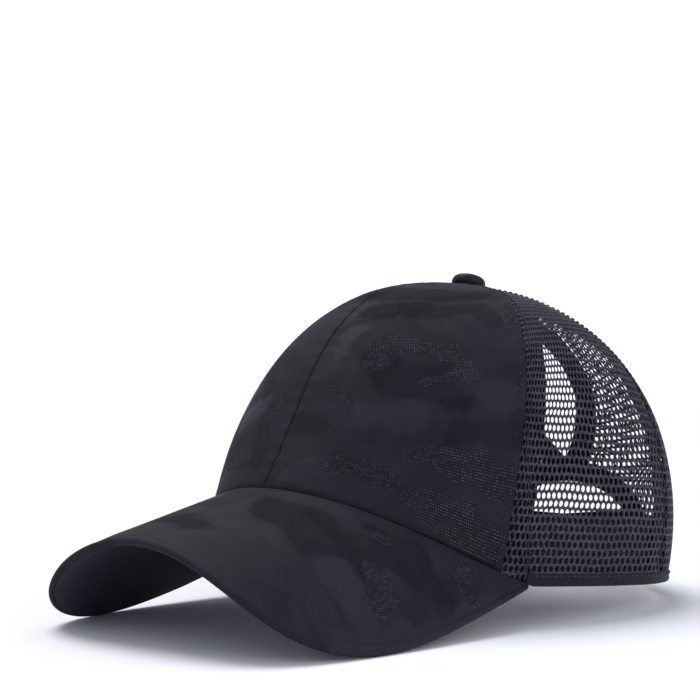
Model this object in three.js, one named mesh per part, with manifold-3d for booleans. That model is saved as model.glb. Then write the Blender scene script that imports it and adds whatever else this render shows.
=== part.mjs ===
// A trucker cap with a ponytail opening: two cloth front panels, four mesh panels, a curved peak
// and a closure strap. Millimetres. While the pieces are shaped, the cap stands level on its rim:
// +X is the wearer's left, -Y the front and +Z up. The group at the end tips the cap to the way
// it lies on a table, on the peak's edges and the strap.
import * as THREE from "three";
import { mergeVertices } from "three/addons/utils/BufferGeometryUtils.js";
import Module from "manifold-3d";

const wasm = await Module();
wasm.setup();

// The crown, outside: its plan is an egg, longer in front of the widest place than behind it.
const crownLength = 198;
const frontShare = 0.604;
const halfWidth = 84.1;
const crownHeight = 116.5;
const buttonBack = -3.6;
const crest = 0.033;

// Each meridian is one cubic curve from the rim to the button. lean: how far its first handle goes
// inwards, as a share of the radius. rise: that handle's height, as a share of the crown's.
// round: the last handle's radius. crest: how far that handle stands over the button.
const meridians = {
  front: { lean: 0.218, rise: 0.475, round: 0.766 },
  side: { lean: -0.168, rise: 0.841, round: 0.32 },
  rear: { lean: -0.237, rise: 0.521, round: 0.203 },
};

// Seams run from an angle at the rim to an angle at the top, counted from the front centre.
const seams = {
  front: { rim: 55, top: 74 },
  rear: { rim: 100.9, top: 110.5 },
};

// The peak is a sheet with one bend across its width, and it falls away towards the front.
const peakEnd = 62.2;
const peakReach = 59.1;
const peakFall = 0.322;
const peakArch = 47.7;
const peakDroop = 22.7;
const peakSideBulge = -0.036;
const peakSideShape = 0.522;
const peakFrontShape = 0.365;
const peakEndTrim = 0.012;
const peakThickness = 2.6;
const peakEdgeLift = 1.2;

// Openings at the back, measured along the cloth from the rim upwards.
const closure = { halfWidth: 40.6, height: 39.4, roundness: 0.45, belowRim: 20 };
const ponytail = { bottom: 50.1, height: 75.5, halfWidth: 18.2, widestAt: 0.552, taper: 1.7 };
const rearCut = { front: 10, back: 110 };

// Walls and trims. A depth is counted inwards from the crown's outer surface.
const clothThickness = 1.5;
const meshThickness = 1.2;
const bindingWidth = 10;
const bindingProud = 0.6;
const bindingDepth = 1.9;
const bindingReach = 60;
const tapeWidth = 12;
const tapeTaper = 0.25;
const frontTapeShift = 0.38;
const tapeOuterDepth = 2.05;
const tapeInnerDepth = 3.0;
const sweatbandOuterDepth = 3.5;
const sweatbandInnerDepth = 4.7;
const sweatbandHeight = 25;
const rimHeight = 4.7;
const rimProud = 0.4;
const rimDepth = 3.0;
const rimTaper = 4;
const rimStart = 1;
const rimOverrun = 4;
const rimSpacing = 1.3;
const seamGap = 0.3;
const hemGap = 0.6;
const crownTopRadius = 4.5;
const tapeTopRadius = 6.5;
const bindingTopRadius = 8.5;
const buttonRadius = 7;
const buttonTilt = 11;
const buttonLift = 0.6;

// The strap's two halves cross at a slight angle. x counts to the wearer's left of the rear centre.
// The outer half starts behind the left leg of the closure's binding and ends on the right leg.
const strapHeight = 25;
const strapThickness = 1.5;
const outerStrap = {
  topAtCentre: 24.2,
  rise: 0.1,
  route: [
    { x: 48.5, depth: 2.35 },
    { x: 26, depth: 2.35 },
    { x: 14, depth: 0.2 },
    { x: -16, depth: 0.2 },
    { x: -31, depth: -2.6 },
    { x: -40, depth: -2.6 },
  ],
};
const innerStrap = {
  topAtCentre: 23.9,
  rise: -0.03,
  route: [
    { x: 12, depth: 2.4 },
    { x: -48.5, depth: 2.4 },
  ],
};

// The cap tips back until the peak's edges and the strap's low end share one floor.
const restTilt = 4.4;

const radians = THREE.MathUtils.degToRad;
const frontLength = crownLength * frontShare;
const rearLength = crownLength - frontLength;
const peakEndAngle = radians(peakEnd);

function lerp(a, b, share) {
  return a + (b - a) * share;
}

function blendRound(angle, column) {
  const c = Math.cos(angle);
  const atFront = Math.max(c, 0) ** 2;
  const atRear = Math.max(-c, 0) ** 2;
  const { front: f, side: s, rear: r } = meridians;
  return f[column] * atFront + r[column] * atRear + s[column] * (1 - atFront - atRear);
}

function rimPlan(angle) {
  const reach = Math.cos(angle) > 0 ? frontLength : rearLength;
  return { x: halfWidth * Math.sin(angle), y: -reach * Math.cos(angle) };
}

// The height of the bent peak over any place in plan, before it is set level with the rim at its two ends.
function bentHeight(x, y) {
  const across = Math.abs(x) / halfWidth;
  const forward = -y - frontLength;
  return -peakFall * forward - peakArch * across ** 2 - peakDroop * across ** 4;
}

const peakCorner = rimPlan(peakEndAngle);
const peakLevel = bentHeight(peakCorner.x, peakCorner.y);

function peakHeight(x, y) {
  return bentHeight(x, y) - peakLevel;
}

// The crown's lower line: flat round the back and sides, and arched over the peak.
function rimHeightAt(angle) {
  const turned = Math.abs(Math.atan2(Math.sin(angle), Math.cos(angle)));
  if (turned >= peakEndAngle) {
    return 0;
  }
  const plan = rimPlan(turned);
  return peakHeight(plan.x, plan.y);
}

// The cubic's radius as a share of the rim's, and its rise as a share of the way up to the button.
function meridianShares(angle, t) {
  const round = blendRound(angle, "round");
  const start = (1 - t) ** 3;
  const first = 3 * t * (1 - t) ** 2;
  const second = 3 * t * t * (1 - t);
  const radius = start + first * (1 - blendRound(angle, "lean")) + second * round;
  const rise = first * blendRound(angle, "rise") + second * (1 + crest * round) + t ** 3;
  return { radius, rise };
}

function crownSurface(angle, t) {
  const plan = rimPlan(angle);
  const base = rimHeightAt(angle);
  const { radius, rise } = meridianShares(angle, t);
  return new THREE.Vector3(
    plan.x * radius,
    buttonBack + (plan.y - buttonBack) * radius,
    base + (crownHeight - base) * rise,
  );
}

// Slopes are taken over this small step, and searches end when they are this sure.
const step = 1e-3;
const tiny = 1e-9;
const halvings = 40;

function alongRim(angle, t) {
  return crownSurface(angle + step, t).sub(crownSurface(angle - step, t)).divideScalar(2 * step);
}

function alongMeridian(angle, t) {
  return crownSurface(angle, t + step).sub(crownSurface(angle, t - step)).divideScalar(2 * step);
}

function crownPoint(angle, t, depth) {
  const outwards = alongRim(angle, t).cross(alongMeridian(angle, t)).normalize();
  return crownSurface(angle, t).addScaledVector(outwards, -depth);
}

// Solves a rising function of t by halving.
function solve(low, high, reached) {
  let a = low;
  let b = high;
  for (let i = 0; i < halvings; i += 1) {
    const middle = (a + b) / 2;
    if (reached(middle)) {
      b = middle;
    } else {
      a = middle;
    }
  }
  return (a + b) / 2;
}

// Where a meridian reaches a height over the rim. A little of the curve below the rim is searched too.
function tAtHeight(angle, height) {
  const target = rimHeightAt(angle) + height;
  return solve(-0.2, 0.6, (t) => crownSurface(angle, t).z > target);
}

function tAtRadius(angle, radius) {
  return solve(0.5, 1, (t) => {
    const p = crownSurface(angle, t);
    return Math.hypot(p.x, p.y - buttonBack) < radius;
  });
}

// The crown's point at a distance x to the wearer's left of the rear centre and a height z.
function rearPoint(x, z, depth) {
  const steepest = 5;
  const rounds = 12;
  let t = 0.2;
  let angle = Math.PI;
  for (let i = 0; i < rounds; i += 1) {
    const sine = x / (halfWidth * meridianShares(angle, t).radius);
    angle = Math.PI - Math.asin(THREE.MathUtils.clamp(sine, -1, 1));
    const miss = crownSurface(angle, t).z - z;
    t -= miss / Math.max(alongMeridian(angle, t).z, steepest);
  }
  return crownPoint(angle, t, depth);
}

// A closed body between an outer and an inner grid of points.
// Rows go up, and columns go from front to back on +X.
function wallBetween(outer, inner) {
  const rows = outer.length;
  const columns = outer[0].length;
  const points = [...outer.flat(), ...inner.flat()];
  const triangles = [];
  const out = (row, column) => row * columns + column;
  const within = (row, column) => rows * columns + out(row, column);
  const quad = (a, b, c, d) => triangles.push(a, b, c, a, c, d);
  for (let r = 0; r + 1 < rows; r += 1) {
    for (let c = 0; c + 1 < columns; c += 1) {
      quad(out(r, c), out(r, c + 1), out(r + 1, c + 1), out(r + 1, c));
      quad(within(r, c), within(r + 1, c), within(r + 1, c + 1), within(r, c + 1));
    }
    quad(out(r, 0), out(r + 1, 0), within(r + 1, 0), within(r, 0));
    quad(out(r + 1, columns - 1), out(r, columns - 1), within(r, columns - 1), within(r + 1, columns - 1));
  }
  for (let c = 0; c + 1 < columns; c += 1) {
    quad(out(0, c + 1), out(0, c), within(0, c), within(0, c + 1));
    quad(out(rows - 1, c), out(rows - 1, c + 1), within(rows - 1, c + 1), within(rows - 1, c));
  }
  return geometryFrom(points.flatMap((p) => [p.x, p.y, p.z]), triangles);
}

function geometryFrom(positions, triangles) {
  const geometry = new THREE.BufferGeometry();
  geometry.setAttribute("position", new THREE.Float32BufferAttribute(positions, 3));
  geometry.setIndex(triangles);
  return geometry;
}

function grid(rows, columns, pointAt) {
  return Array.from({ length: rows + 1 }, (_, r) =>
    Array.from({ length: columns + 1 }, (__, c) => pointAt(c / columns, r / rows)),
  );
}

function mirrored(geometry) {
  const positions = Array.from(geometry.getAttribute("position").array);
  for (let i = 0; i < positions.length; i += 3) {
    positions[i] *= -1;
  }
  const index = Array.from(geometry.getIndex().array);
  for (let i = 0; i < index.length; i += 3) {
    [index[i + 1], index[i + 2]] = [index[i + 2], index[i + 1]];
  }
  return geometryFrom(positions, index);
}

function toSolid(geometry) {
  const bare = geometry.clone();
  bare.deleteAttribute("normal");
  bare.deleteAttribute("uv");
  const merged = mergeVertices(bare, 1e-4);
  const vertProperties = new Float32Array(merged.getAttribute("position").array);
  const triVerts = new Uint32Array(merged.getIndex().array);
  return new wasm.Manifold(new wasm.Mesh({ numProp: 3, vertProperties, triVerts }));
}

function fromSolid(solid) {
  const mesh = solid.getMesh();
  return geometryFrom(Array.from(mesh.vertProperties), Array.from(mesh.triVerts));
}

// A part of the crown's wall between two lines that climb it, given as functions of t.
function crownWall({ from, to, bottom, top, rows, columns, outerDepth, innerDepth }) {
  const rounds = 4;
  const layer = (depth) =>
    grid(rows, columns, (share, up) => {
      let t = up;
      let angle = 0;
      for (let i = 0; i < rounds; i += 1) {
        angle = lerp(from(t), to(t), share);
        t = lerp(bottom(angle), top(angle), up);
      }
      return crownPoint(angle, t, depth);
    });
  return wallBetween(layer(outerDepth), layer(innerDepth));
}

function seamAngle(seam, t) {
  return radians(lerp(seam.rim, seam.top, t));
}

// A line beside a seam, at a distance in millimetres measured round the crown.
function beside(seam, distance) {
  return (t) => {
    const angle = seamAngle(seam, t);
    return angle + distance / alongRim(angle, t).length();
  };
}

function crownTop(angle) {
  return tAtRadius(angle, crownTopRadius);
}

// The hem tapers away where the peak begins.
function rimTopHeight(angle) {
  const past = THREE.MathUtils.clamp((angle - peakEndAngle) / radians(rimTaper), 0, 1);
  return rimHeight * past;
}

function panelBottom(angle) {
  return tAtHeight(angle, rimTopHeight(angle) + hemGap);
}

const frontCentre = { rim: 0, top: 0 };
const rearCentre = { rim: 180, top: 180 };

function frontPanel() {
  return crownWall({
    from: beside(frontCentre, seamGap / 2),
    to: beside(seams.front, -seamGap / 2),
    bottom: panelBottom,
    top: crownTop,
    rows: 14,
    columns: 9,
    outerDepth: 0,
    innerDepth: clothThickness,
  });
}

function sideMesh() {
  return crownWall({
    from: beside(seams.front, seamGap / 2),
    to: beside(seams.rear, -seamGap / 2),
    bottom: panelBottom,
    top: crownTop,
    rows: 14,
    columns: 12,
    outerDepth: 0,
    innerDepth: meshThickness,
  });
}

// Heights along the cloth at the rear centre, so that the openings keep their real size on the sloping crown.
const rearSteps = 300;
const rearLine = [{ along: 0, z: 0 }];
for (let i = 1; i <= rearSteps; i += 1) {
  const here = crownSurface(Math.PI, i / rearSteps);
  const before = crownSurface(Math.PI, (i - 1) / rearSteps);
  rearLine.push({ along: rearLine[i - 1].along + here.distanceTo(before), z: here.z });
}

function heightAlongRear(along) {
  if (along <= 0) {
    return along;
  }
  const next = rearLine.findIndex((row) => row.along >= along);
  const a = rearLine[next - 1];
  const b = rearLine[next];
  return lerp(a.z, b.z, (along - a.along) / (b.along - a.along));
}

// Half of the ponytail opening's width at a share of its height: a point at the bottom and a round top.
function ponytailHalfWidth(share) {
  const { widestAt, taper, halfWidth: half } = ponytail;
  if (share < widestAt) {
    return half * (1 - ((widestAt - share) / widestAt) ** taper);
  }
  return half * Math.sqrt(Math.max(0, 1 - ((share - widestAt) / (1 - widestAt)) ** 2));
}

function ponytailOutline(outset) {
  const half = [];
  const count = 16;
  for (let i = 0; i <= count; i += 1) {
    const share = (1 - Math.cos((Math.PI * i) / count)) / 2;
    half.push(new THREE.Vector2(ponytailHalfWidth(share), ponytail.bottom + ponytail.height * share));
  }
  const rightSide = half.slice(1, -1).reverse().map((p) => new THREE.Vector2(-p.x, p.y));
  const loop = [...half, ...rightSide];
  return loop.map((p, i) => {
    const before = loop[(i + loop.length - 1) % loop.length];
    const after = loop[(i + 1) % loop.length];
    const along = after.clone().sub(before).normalize();
    return new THREE.Vector2(p.x + along.y * outset, p.y - along.x * outset);
  });
}

function closureOutline(outset) {
  const half = closure.halfWidth + outset;
  const height = closure.height + outset;
  const loop = [new THREE.Vector2(half, -closure.belowRim)];
  const count = 24;
  for (let i = 0; i <= count; i += 1) {
    const turn = (Math.PI * i) / count;
    const rise = Math.max(0, Math.sin(turn)) ** (2 * closure.roundness);
    loop.push(new THREE.Vector2(half * Math.cos(turn), height * rise));
  }
  loop.push(new THREE.Vector2(-half, -closure.belowRim));
  return loop;
}

// A straight prism from front to back through the rear wall, over an outline measured along the cloth.
function rearPrism(outline) {
  const shape = new THREE.Shape(outline.map((p) => new THREE.Vector2(p.x, heightAlongRear(p.y))));
  const depth = rearCut.back - rearCut.front;
  const geometry = new THREE.ExtrudeGeometry(shape, { depth, bevelEnabled: false });
  geometry.rotateX(Math.PI / 2);
  geometry.translate(0, rearCut.back, 0);
  return toSolid(geometry);
}

const closureCut = rearPrism(closureOutline(0));
const closureBand = rearPrism(closureOutline(bindingWidth));
const closureClear = rearPrism(closureOutline(bindingWidth + seamGap));
const ponytailCut = rearPrism(ponytailOutline(0));
const ponytailBand = rearPrism(ponytailOutline(bindingWidth));
const ponytailClear = rearPrism(ponytailOutline(bindingWidth + 2 * seamGap));

function rearMesh() {
  const whole = crownWall({
    from: beside(seams.rear, seamGap / 2),
    to: beside(rearCentre, -seamGap / 2),
    bottom: panelBottom,
    top: crownTop,
    rows: 14,
    columns: 12,
    outerDepth: 0,
    innerDepth: meshThickness,
  });
  return fromSolid(toSolid(whole).subtract(closureClear).subtract(ponytailClear));
}

// The bindings are cut from one thick wall round the back of the crown.
const bindingWall = toSolid(
  crownWall({
    from: () => radians(180 - bindingReach),
    to: () => radians(180 + bindingReach),
    bottom: (angle) => tAtHeight(angle, 0),
    top: (angle) => tAtRadius(angle, bindingTopRadius),
    rows: 22,
    columns: 24,
    outerDepth: -bindingProud,
    innerDepth: bindingDepth,
  }),
);

function closureBinding() {
  return fromSolid(bindingWall.intersect(closureBand).subtract(closureCut));
}

function ponytailBinding() {
  return fromSolid(bindingWall.intersect(ponytailBand).subtract(ponytailCut).subtract(closureClear));
}

// A tape sewn behind a seam. It narrows under the button, where all the tapes meet.
// shift: how far it lies towards the back of its seam, as a share of its half width.
function seamTape(seam, shift) {
  const half = (t) => {
    const p = crownSurface(seamAngle(seam, t), t);
    return Math.min(tapeWidth / 2, tapeTaper * Math.hypot(p.x, p.y - buttonBack));
  };
  return crownWall({
    from: (t) => beside(seam, (shift - 1) * half(t))(t),
    to: (t) => beside(seam, (shift + 1) * half(t))(t),
    bottom: (angle) => tAtHeight(angle, rimHeight + 2 * seamGap),
    top: (angle) => tAtRadius(angle, tapeTopRadius),
    rows: 14,
    columns: 2,
    outerDepth: tapeOuterDepth,
    innerDepth: tapeInnerDepth,
  });
}

// Where a vertical line at a distance x from the rear centre meets the rim.
function rimAngleAtX(x) {
  return Math.PI - Math.asin(x / halfWidth);
}

const closureSide = rimAngleAtX(closure.halfWidth + bindingWidth + seamGap);

function sweatband() {
  const layer = (depth) =>
    grid(2, 42, (share, up) => {
      const angle = lerp(-closureSide, closureSide, share);
      return crownPoint(angle, tAtHeight(angle, lerp(seamGap, sweatbandHeight, up)), depth);
    });
  return wallBetween(layer(sweatbandOuterDepth), layer(sweatbandInnerDepth));
}

function rimBand() {
  const start = peakEndAngle + radians(rimStart);
  const end = closureSide + radians(rimOverrun);
  const layer = (depth) =>
    grid(1, 16, (share, up) => {
      const angle = lerp(start, end, share ** rimSpacing);
      return crownPoint(angle, tAtHeight(angle, rimTopHeight(angle) * up), depth);
    });
  const band = toSolid(wallBetween(layer(-rimProud), layer(rimDepth)));
  return fromSolid(band.subtract(closureClear));
}

// The peak's outer edge in plan, for a turn from -1 at one end of the peak to 1 at the other.
function peakEdgePlan(turn) {
  const angle = (turn * Math.PI) / 2;
  const side = Math.sign(Math.sin(angle)) * Math.abs(Math.sin(angle)) ** peakSideShape;
  const x = peakCorner.x * side * (1 + peakSideBulge * Math.sin(2 * Math.abs(angle)));
  const forwards = Math.abs(Math.cos(angle)) ** peakFrontShape;
  const y = lerp(peakCorner.y, -frontLength - peakReach, forwards);
  return new THREE.Vector2(x, y);
}

// The same edge again at even steps along its length.
const edgeSteps = 400;
const edgeSamples = Array.from({ length: 2 * edgeSteps + 1 }, (_, i) => {
  const even = i / edgeSteps - 1;
  return peakEdgePlan(Math.sign(even) * (1 - (1 - Math.abs(even)) ** 3));
});
const edgeLengths = [0];
for (let i = 1; i < edgeSamples.length; i += 1) {
  edgeLengths.push(edgeLengths[i - 1] + edgeSamples[i].distanceTo(edgeSamples[i - 1]));
}

function peakEdgeAt(share) {
  const target = share * edgeLengths[edgeLengths.length - 1];
  const next = Math.max(1, edgeLengths.findIndex((length) => length >= target - tiny));
  const part = (target - edgeLengths[next - 1]) / (edgeLengths[next] - edgeLengths[next - 1]);
  return edgeSamples[next - 1].clone().lerp(edgeSamples[next], part);
}

function peakNormal(x, y) {
  const slopeX = (peakHeight(x + step, y) - peakHeight(x - step, y)) / (2 * step);
  const slopeY = (peakHeight(x, y + step) - peakHeight(x, y - step)) / (2 * step);
  return new THREE.Vector3(-slopeX, -slopeY, 1).normalize();
}

// A point of the peak between the crown's lower line and the edge.
function peakPoint(share, outwards, depth) {
  const rim = rimPlan(lerp(-peakEndAngle, peakEndAngle, share));
  const plan = new THREE.Vector2(rim.x, rim.y).lerp(peakEdgeAt(share), outwards);
  const top = new THREE.Vector3(plan.x, plan.y, peakHeight(plan.x, plan.y) + peakEdgeLift * outwards);
  return top.addScaledVector(peakNormal(plan.x, plan.y), -depth);
}

// The peak's sewn edge, which lies under the crown's wall.
function peakSeamPoint(share, depth) {
  const angle = lerp(-peakEndAngle, peakEndAngle, share);
  const down = alongMeridian(angle, 0).normalize().multiplyScalar(-depth);
  return crownPoint(angle, 0, rimDepth).add(down);
}

function peak() {
  const rows = 8;
  const layer = (depth) =>
    grid(rows, 32, (across, up) => {
      const share = lerp(1 - peakEndTrim, peakEndTrim, across);
      if (up === 0) {
        return peakSeamPoint(share, depth);
      }
      return peakPoint(share, (up * rows - 1) / (rows - 1), depth);
    });
  return wallBetween(layer(0), layer(peakThickness));
}

// The button has a flat underside and a low dome. Radii are shares of its own radius.
function topButton() {
  const profile = [
    { radius: 0, up: 0 },
    { radius: 0.89, up: 0 },
    { radius: 1, up: 0.8 },
    { radius: 1, up: 2.2 },
    { radius: 0.9, up: 3.5 },
    { radius: 0.66, up: 4.4 },
    { radius: 0.34, up: 4.8 },
    { radius: 0, up: 4.9 },
  ];
  return new THREE.LatheGeometry(
    profile.map((row) => new THREE.Vector2(row.radius * buttonRadius, row.up)),
    24,
  );
}

function depthOnRoute(route, x) {
  const next = Math.max(1, route.findIndex((row) => row.x <= x + tiny));
  const a = route[next - 1];
  const b = route[next];
  const part = (a.x - x) / (a.x - b.x);
  return lerp(a.depth, b.depth, part * part * (3 - 2 * part));
}

// The tipped cap stands on one plane. The peak's lowest edges give its height,
// and the strap's low end lies flat on it.
const tipping = new THREE.Matrix4().makeRotationX(radians(-restTilt));
const peakGeometry = peak();
const tippedPeak = peakGeometry.clone().applyMatrix4(tipping);
tippedPeak.computeBoundingBox();
const floorLevel = tippedPeak.boundingBox.min.z;

function keepAboveFloor(point) {
  const tipped = point.clone().applyMatrix4(tipping);
  const lift = Math.max(0, floorLevel - tipped.z);
  point.z += lift / Math.cos(radians(restTilt));
  return point;
}

function strap({ topAtCentre, rise, route }) {
  const from = route[0].x;
  const to = route[route.length - 1].x;
  const layer = (inset) =>
    grid(3, 22, (share, up) => {
      const x = lerp(from, to, share);
      const top = topAtCentre + rise * x;
      const z = lerp(top - strapHeight, top, up);
      return keepAboveFloor(rearPoint(x, z, depthOnRoute(route, x) + inset));
    });
  return wallBetween(layer(0), layer(strapThickness));
}

const clothMaterial = { color: 0x2a2930, roughness: 0.6, metalness: 0 };
const meshMaterial = { color: 0x1c1e20, roughness: 0.7, metalness: 0 };
const trimMaterial = { color: 0x141519, roughness: 0.75, metalness: 0 };

const cap = new THREE.Group();

function add(name, geometry, finish) {
  const mesh = new THREE.Mesh(geometry, new THREE.MeshStandardMaterial(finish));
  mesh.name = name;
  cap.add(mesh);
  return mesh;
}

function addPair(name, geometry, finish) {
  add(`${name}_left`, geometry, finish);
  add(`${name}_right`, mirrored(geometry), finish);
}

addPair("front_panel", frontPanel(), clothMaterial);
addPair("side_mesh", sideMesh(), meshMaterial);
addPair("rear_mesh", rearMesh(), meshMaterial);
addPair("front_seam_tape", seamTape(seams.front, frontTapeShift), trimMaterial);
addPair("rear_seam_tape", seamTape(seams.rear, 0), trimMaterial);
addPair("rim_band", rimBand(), trimMaterial);
add("ponytail_binding", ponytailBinding(), trimMaterial);
add("closure_binding", closureBinding(), trimMaterial);
add("sweatband", sweatband(), trimMaterial);
add("peak", peakGeometry, clothMaterial);
const button = add("top_button", topButton(), clothMaterial);
button.rotation.x = Math.PI / 2 - radians(buttonTilt);
button.position.set(0, buttonBack, crownHeight + buttonLift);

add("closure_strap_left", strap(outerStrap), trimMaterial);
add("closure_strap_right", strap(innerStrap), trimMaterial);

cap.rotation.x = radians(-restTilt);
cap.updateMatrixWorld(true);
const extent = new THREE.Box3().setFromObject(cap, true);
cap.position.set(0, -(extent.min.y + extent.max.y) / 2, -extent.min.z);
cap.updateMatrixWorld(true);

export default cap;
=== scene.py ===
# %% [markdown]
# # A trucker cap with a ponytail opening
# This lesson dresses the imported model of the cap: cloth front panels, net panels, tapes, a curved
# peak, a sweatband and a strap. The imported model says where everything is. Each cell adds one
# piece or one finish, and tells what it is on the real cap and why it was made this way.

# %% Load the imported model
import math
import bmesh
import bpy
import numpy as np
from mathutils import Matrix, Vector


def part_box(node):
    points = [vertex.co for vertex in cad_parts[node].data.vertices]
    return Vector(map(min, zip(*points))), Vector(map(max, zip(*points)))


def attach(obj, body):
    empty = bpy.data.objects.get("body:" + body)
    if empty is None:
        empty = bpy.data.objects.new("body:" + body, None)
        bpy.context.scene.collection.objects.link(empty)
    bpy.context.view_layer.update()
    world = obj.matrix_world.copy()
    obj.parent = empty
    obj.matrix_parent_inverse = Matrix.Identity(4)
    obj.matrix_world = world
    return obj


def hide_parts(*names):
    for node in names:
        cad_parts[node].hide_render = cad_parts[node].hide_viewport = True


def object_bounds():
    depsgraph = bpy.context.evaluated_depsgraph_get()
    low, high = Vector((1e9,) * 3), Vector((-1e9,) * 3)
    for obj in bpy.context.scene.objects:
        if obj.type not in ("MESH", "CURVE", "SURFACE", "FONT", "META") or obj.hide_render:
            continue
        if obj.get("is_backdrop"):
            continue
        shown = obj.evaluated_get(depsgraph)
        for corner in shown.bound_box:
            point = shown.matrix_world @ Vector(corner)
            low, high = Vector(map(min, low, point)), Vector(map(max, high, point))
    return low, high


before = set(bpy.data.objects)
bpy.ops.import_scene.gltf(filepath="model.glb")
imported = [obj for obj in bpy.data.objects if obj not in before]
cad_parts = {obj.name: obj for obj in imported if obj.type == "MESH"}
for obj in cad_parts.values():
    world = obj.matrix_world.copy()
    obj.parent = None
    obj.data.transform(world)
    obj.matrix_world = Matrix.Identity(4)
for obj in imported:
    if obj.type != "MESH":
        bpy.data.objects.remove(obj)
cad_box = [list(corner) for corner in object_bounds()]
scene = bpy.context.scene
print("CAD nodes:", len(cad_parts), "box:", cad_box)

# %% [markdown]
# ## The crown as a formula
# A cap's crown is sewn from six panels and pulled over a round block, so its surface is one smooth
# shape. It could be sculpted, but a formula is exact and gives every seam and tape its place.
# Lengths are millimetres while the cap stands level on its rim: +X is the wearer's left, -Y the
# front. Each meridian is one cubic curve from the rim to the button.

# %% Crown measures
crown_length = 198.0
front_share = 0.604
half_width = 84.1
crown_height = 116.5
button_back = -3.6
crest = 0.033
meridians = {
    "lean": (0.218, -0.168, -0.237),
    "rise": (0.475, 0.841, 0.521),
    "round": (0.766, 0.32, 0.203),
}
front_length = crown_length * front_share
rear_length = crown_length - front_length
peak_end = math.radians(62.2)
peak_fall, peak_arch, peak_droop = 0.322, 47.7, 22.7
# Each seam's turn from the front, in degrees, at the rim and at the button.
seams = {
    "front": (55.0, 74.0),
    "rear": (100.9, 110.5),
    "front_centre": (0.0, 0.0),
    "rear_centre": (180.0, 180.0),
}
crown_top_radius = 4.5
# The hem's front end lies a little under the peak's tip, and it is full height just behind it.
hem_height, hem_taper, hem_gap = 4.7, math.radians(0.8), 0.6
hem_start = peak_end - math.radians(2.2)
gap_on_peak = 0.02


# %% Crown surface
def blend_round(angle, column):
    """A meridian's number at a turn, blended from the front over the side to the rear."""
    front, side, rear = meridians[column]
    facing = np.cos(angle)
    at_front = np.maximum(facing, 0) ** 2
    at_rear = np.maximum(-facing, 0) ** 2
    return front * at_front + rear * at_rear + side * (1 - at_front - at_rear)


def rim_plan(angle):
    reach = np.where(np.cos(angle) > 0, front_length, rear_length)
    return half_width * np.sin(angle), -reach * np.cos(angle)


def bent_height(x, y):
    """The height of the sheet that the peak is bent from; the rim's front lies on it too."""
    across = np.abs(x) / half_width
    return -peak_fall * (-y - front_length) - peak_arch * across**2 - peak_droop * across**4


peak_corner = rim_plan(peak_end)


def peak_height(x, y):
    return bent_height(x, y) - bent_height(*peak_corner)


def rim_height_at(angle):
    turned = np.abs(np.arctan2(np.sin(angle), np.cos(angle)))
    return np.where(turned >= peak_end, 0.0, peak_height(*rim_plan(turned)))


def radius_share(angle, t):
    first = 3 * t * (1 - t) ** 2
    second = 3 * t * t * (1 - t)
    return (1 - t) ** 3 + first * (1 - blend_round(angle, "lean")) + second * blend_round(angle, "round")


def rise_share(angle, t):
    first = 3 * t * (1 - t) ** 2
    second = 3 * t * t * (1 - t)
    return first * blend_round(angle, "rise") + second * (1 + crest * blend_round(angle, "round")) + t**3


def crown_surface(angle, t):
    """Places on the crown: the angle turns from the front, t climbs from 0 at the rim to 1."""
    angle, t = np.broadcast_arrays(np.asarray(angle, float), np.asarray(t, float))
    x, y = rim_plan(angle)
    base = rim_height_at(angle)
    radius = radius_share(angle, t)
    height = base + (crown_height - base) * rise_share(angle, t)
    return np.stack([x * radius, button_back + (y - button_back) * radius, height], -1)


def unit(vectors):
    return vectors / np.maximum(np.linalg.norm(vectors, axis=-1, keepdims=True), 1e-12)


def along_rim(angle, t, step=1e-3):
    return (crown_surface(angle + step, t) - crown_surface(angle - step, t)) / (2 * step)


def along_meridian(angle, t, step=1e-3):
    return (crown_surface(angle, t + step) - crown_surface(angle, t - step)) / (2 * step)


def crown_normal(angle, t):
    return unit(np.cross(along_rim(angle, t), along_meridian(angle, t)))


def crown_point(angle, t, depth):
    return crown_surface(angle, t) - crown_normal(angle, t) * np.asarray(depth)[..., None]


# %% Searching along the crown
lowest_t, t_range = -0.2, 0.8


def halve(low, high, reached, rounds=32):
    """The place between low and high from which on reached holds, found by halving."""
    low = np.array(low, float)
    high = np.array(high, float)
    for _ in range(rounds):
        middle = (low + high) / 2
        done = reached(middle)
        high = np.where(done, middle, high)
        low = np.where(done, low, middle)
    return (low + high) / 2


def t_at_height(angle, height):
    angle, height = np.broadcast_arrays(np.asarray(angle, float), np.asarray(height, float))
    target = rim_height_at(angle) + height
    start = np.full(angle.shape, lowest_t)
    return halve(start, start + t_range, lambda t: crown_surface(angle, t)[..., 2] > target)


def t_at_radius(angle, radius):
    def inside(t):
        p = crown_surface(angle, t)
        return np.hypot(p[..., 0], p[..., 1] - button_back) < radius
    start = np.full(np.shape(angle), 0.5)
    return halve(start, start + 0.5, inside)


def seam_angle(seam, t):
    rim, top = seams[seam]
    return np.radians(rim + (top - rim) * t)


def beside(seam, distance):
    """A line that climbs the crown at a distance from a seam."""
    def line(t):
        angle = seam_angle(seam, t)
        return angle + distance / np.linalg.norm(along_rim(angle, t), axis=-1)
    return line


def hem_top_height(angle):
    return hem_height * np.clip((angle - hem_start) / hem_taper, 0, 1)


def panel_bottom(angle):
    """Just over the hem, and down on the peak where there is no hem."""
    top = hem_top_height(angle)
    return t_at_height(angle, top + np.where(top > 0, hem_gap, gap_on_peak))


def panel_top(angle):
    return t_at_radius(angle, crown_top_radius)


print("front length", round(front_length, 1), "rim point at the side", crown_surface(math.pi / 2, 0.0))


# %% [markdown]
# ## The peak as a formula
# The real peak is a stiff board with one bend across its width, covered with the cap's cloth.
# A bent sheet has straight lines across the bend, so its height is one function of its plan, and
# only its edge needs a curve of its own. The edge is divided again by its own length, so that
# points are even round the corners.

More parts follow.
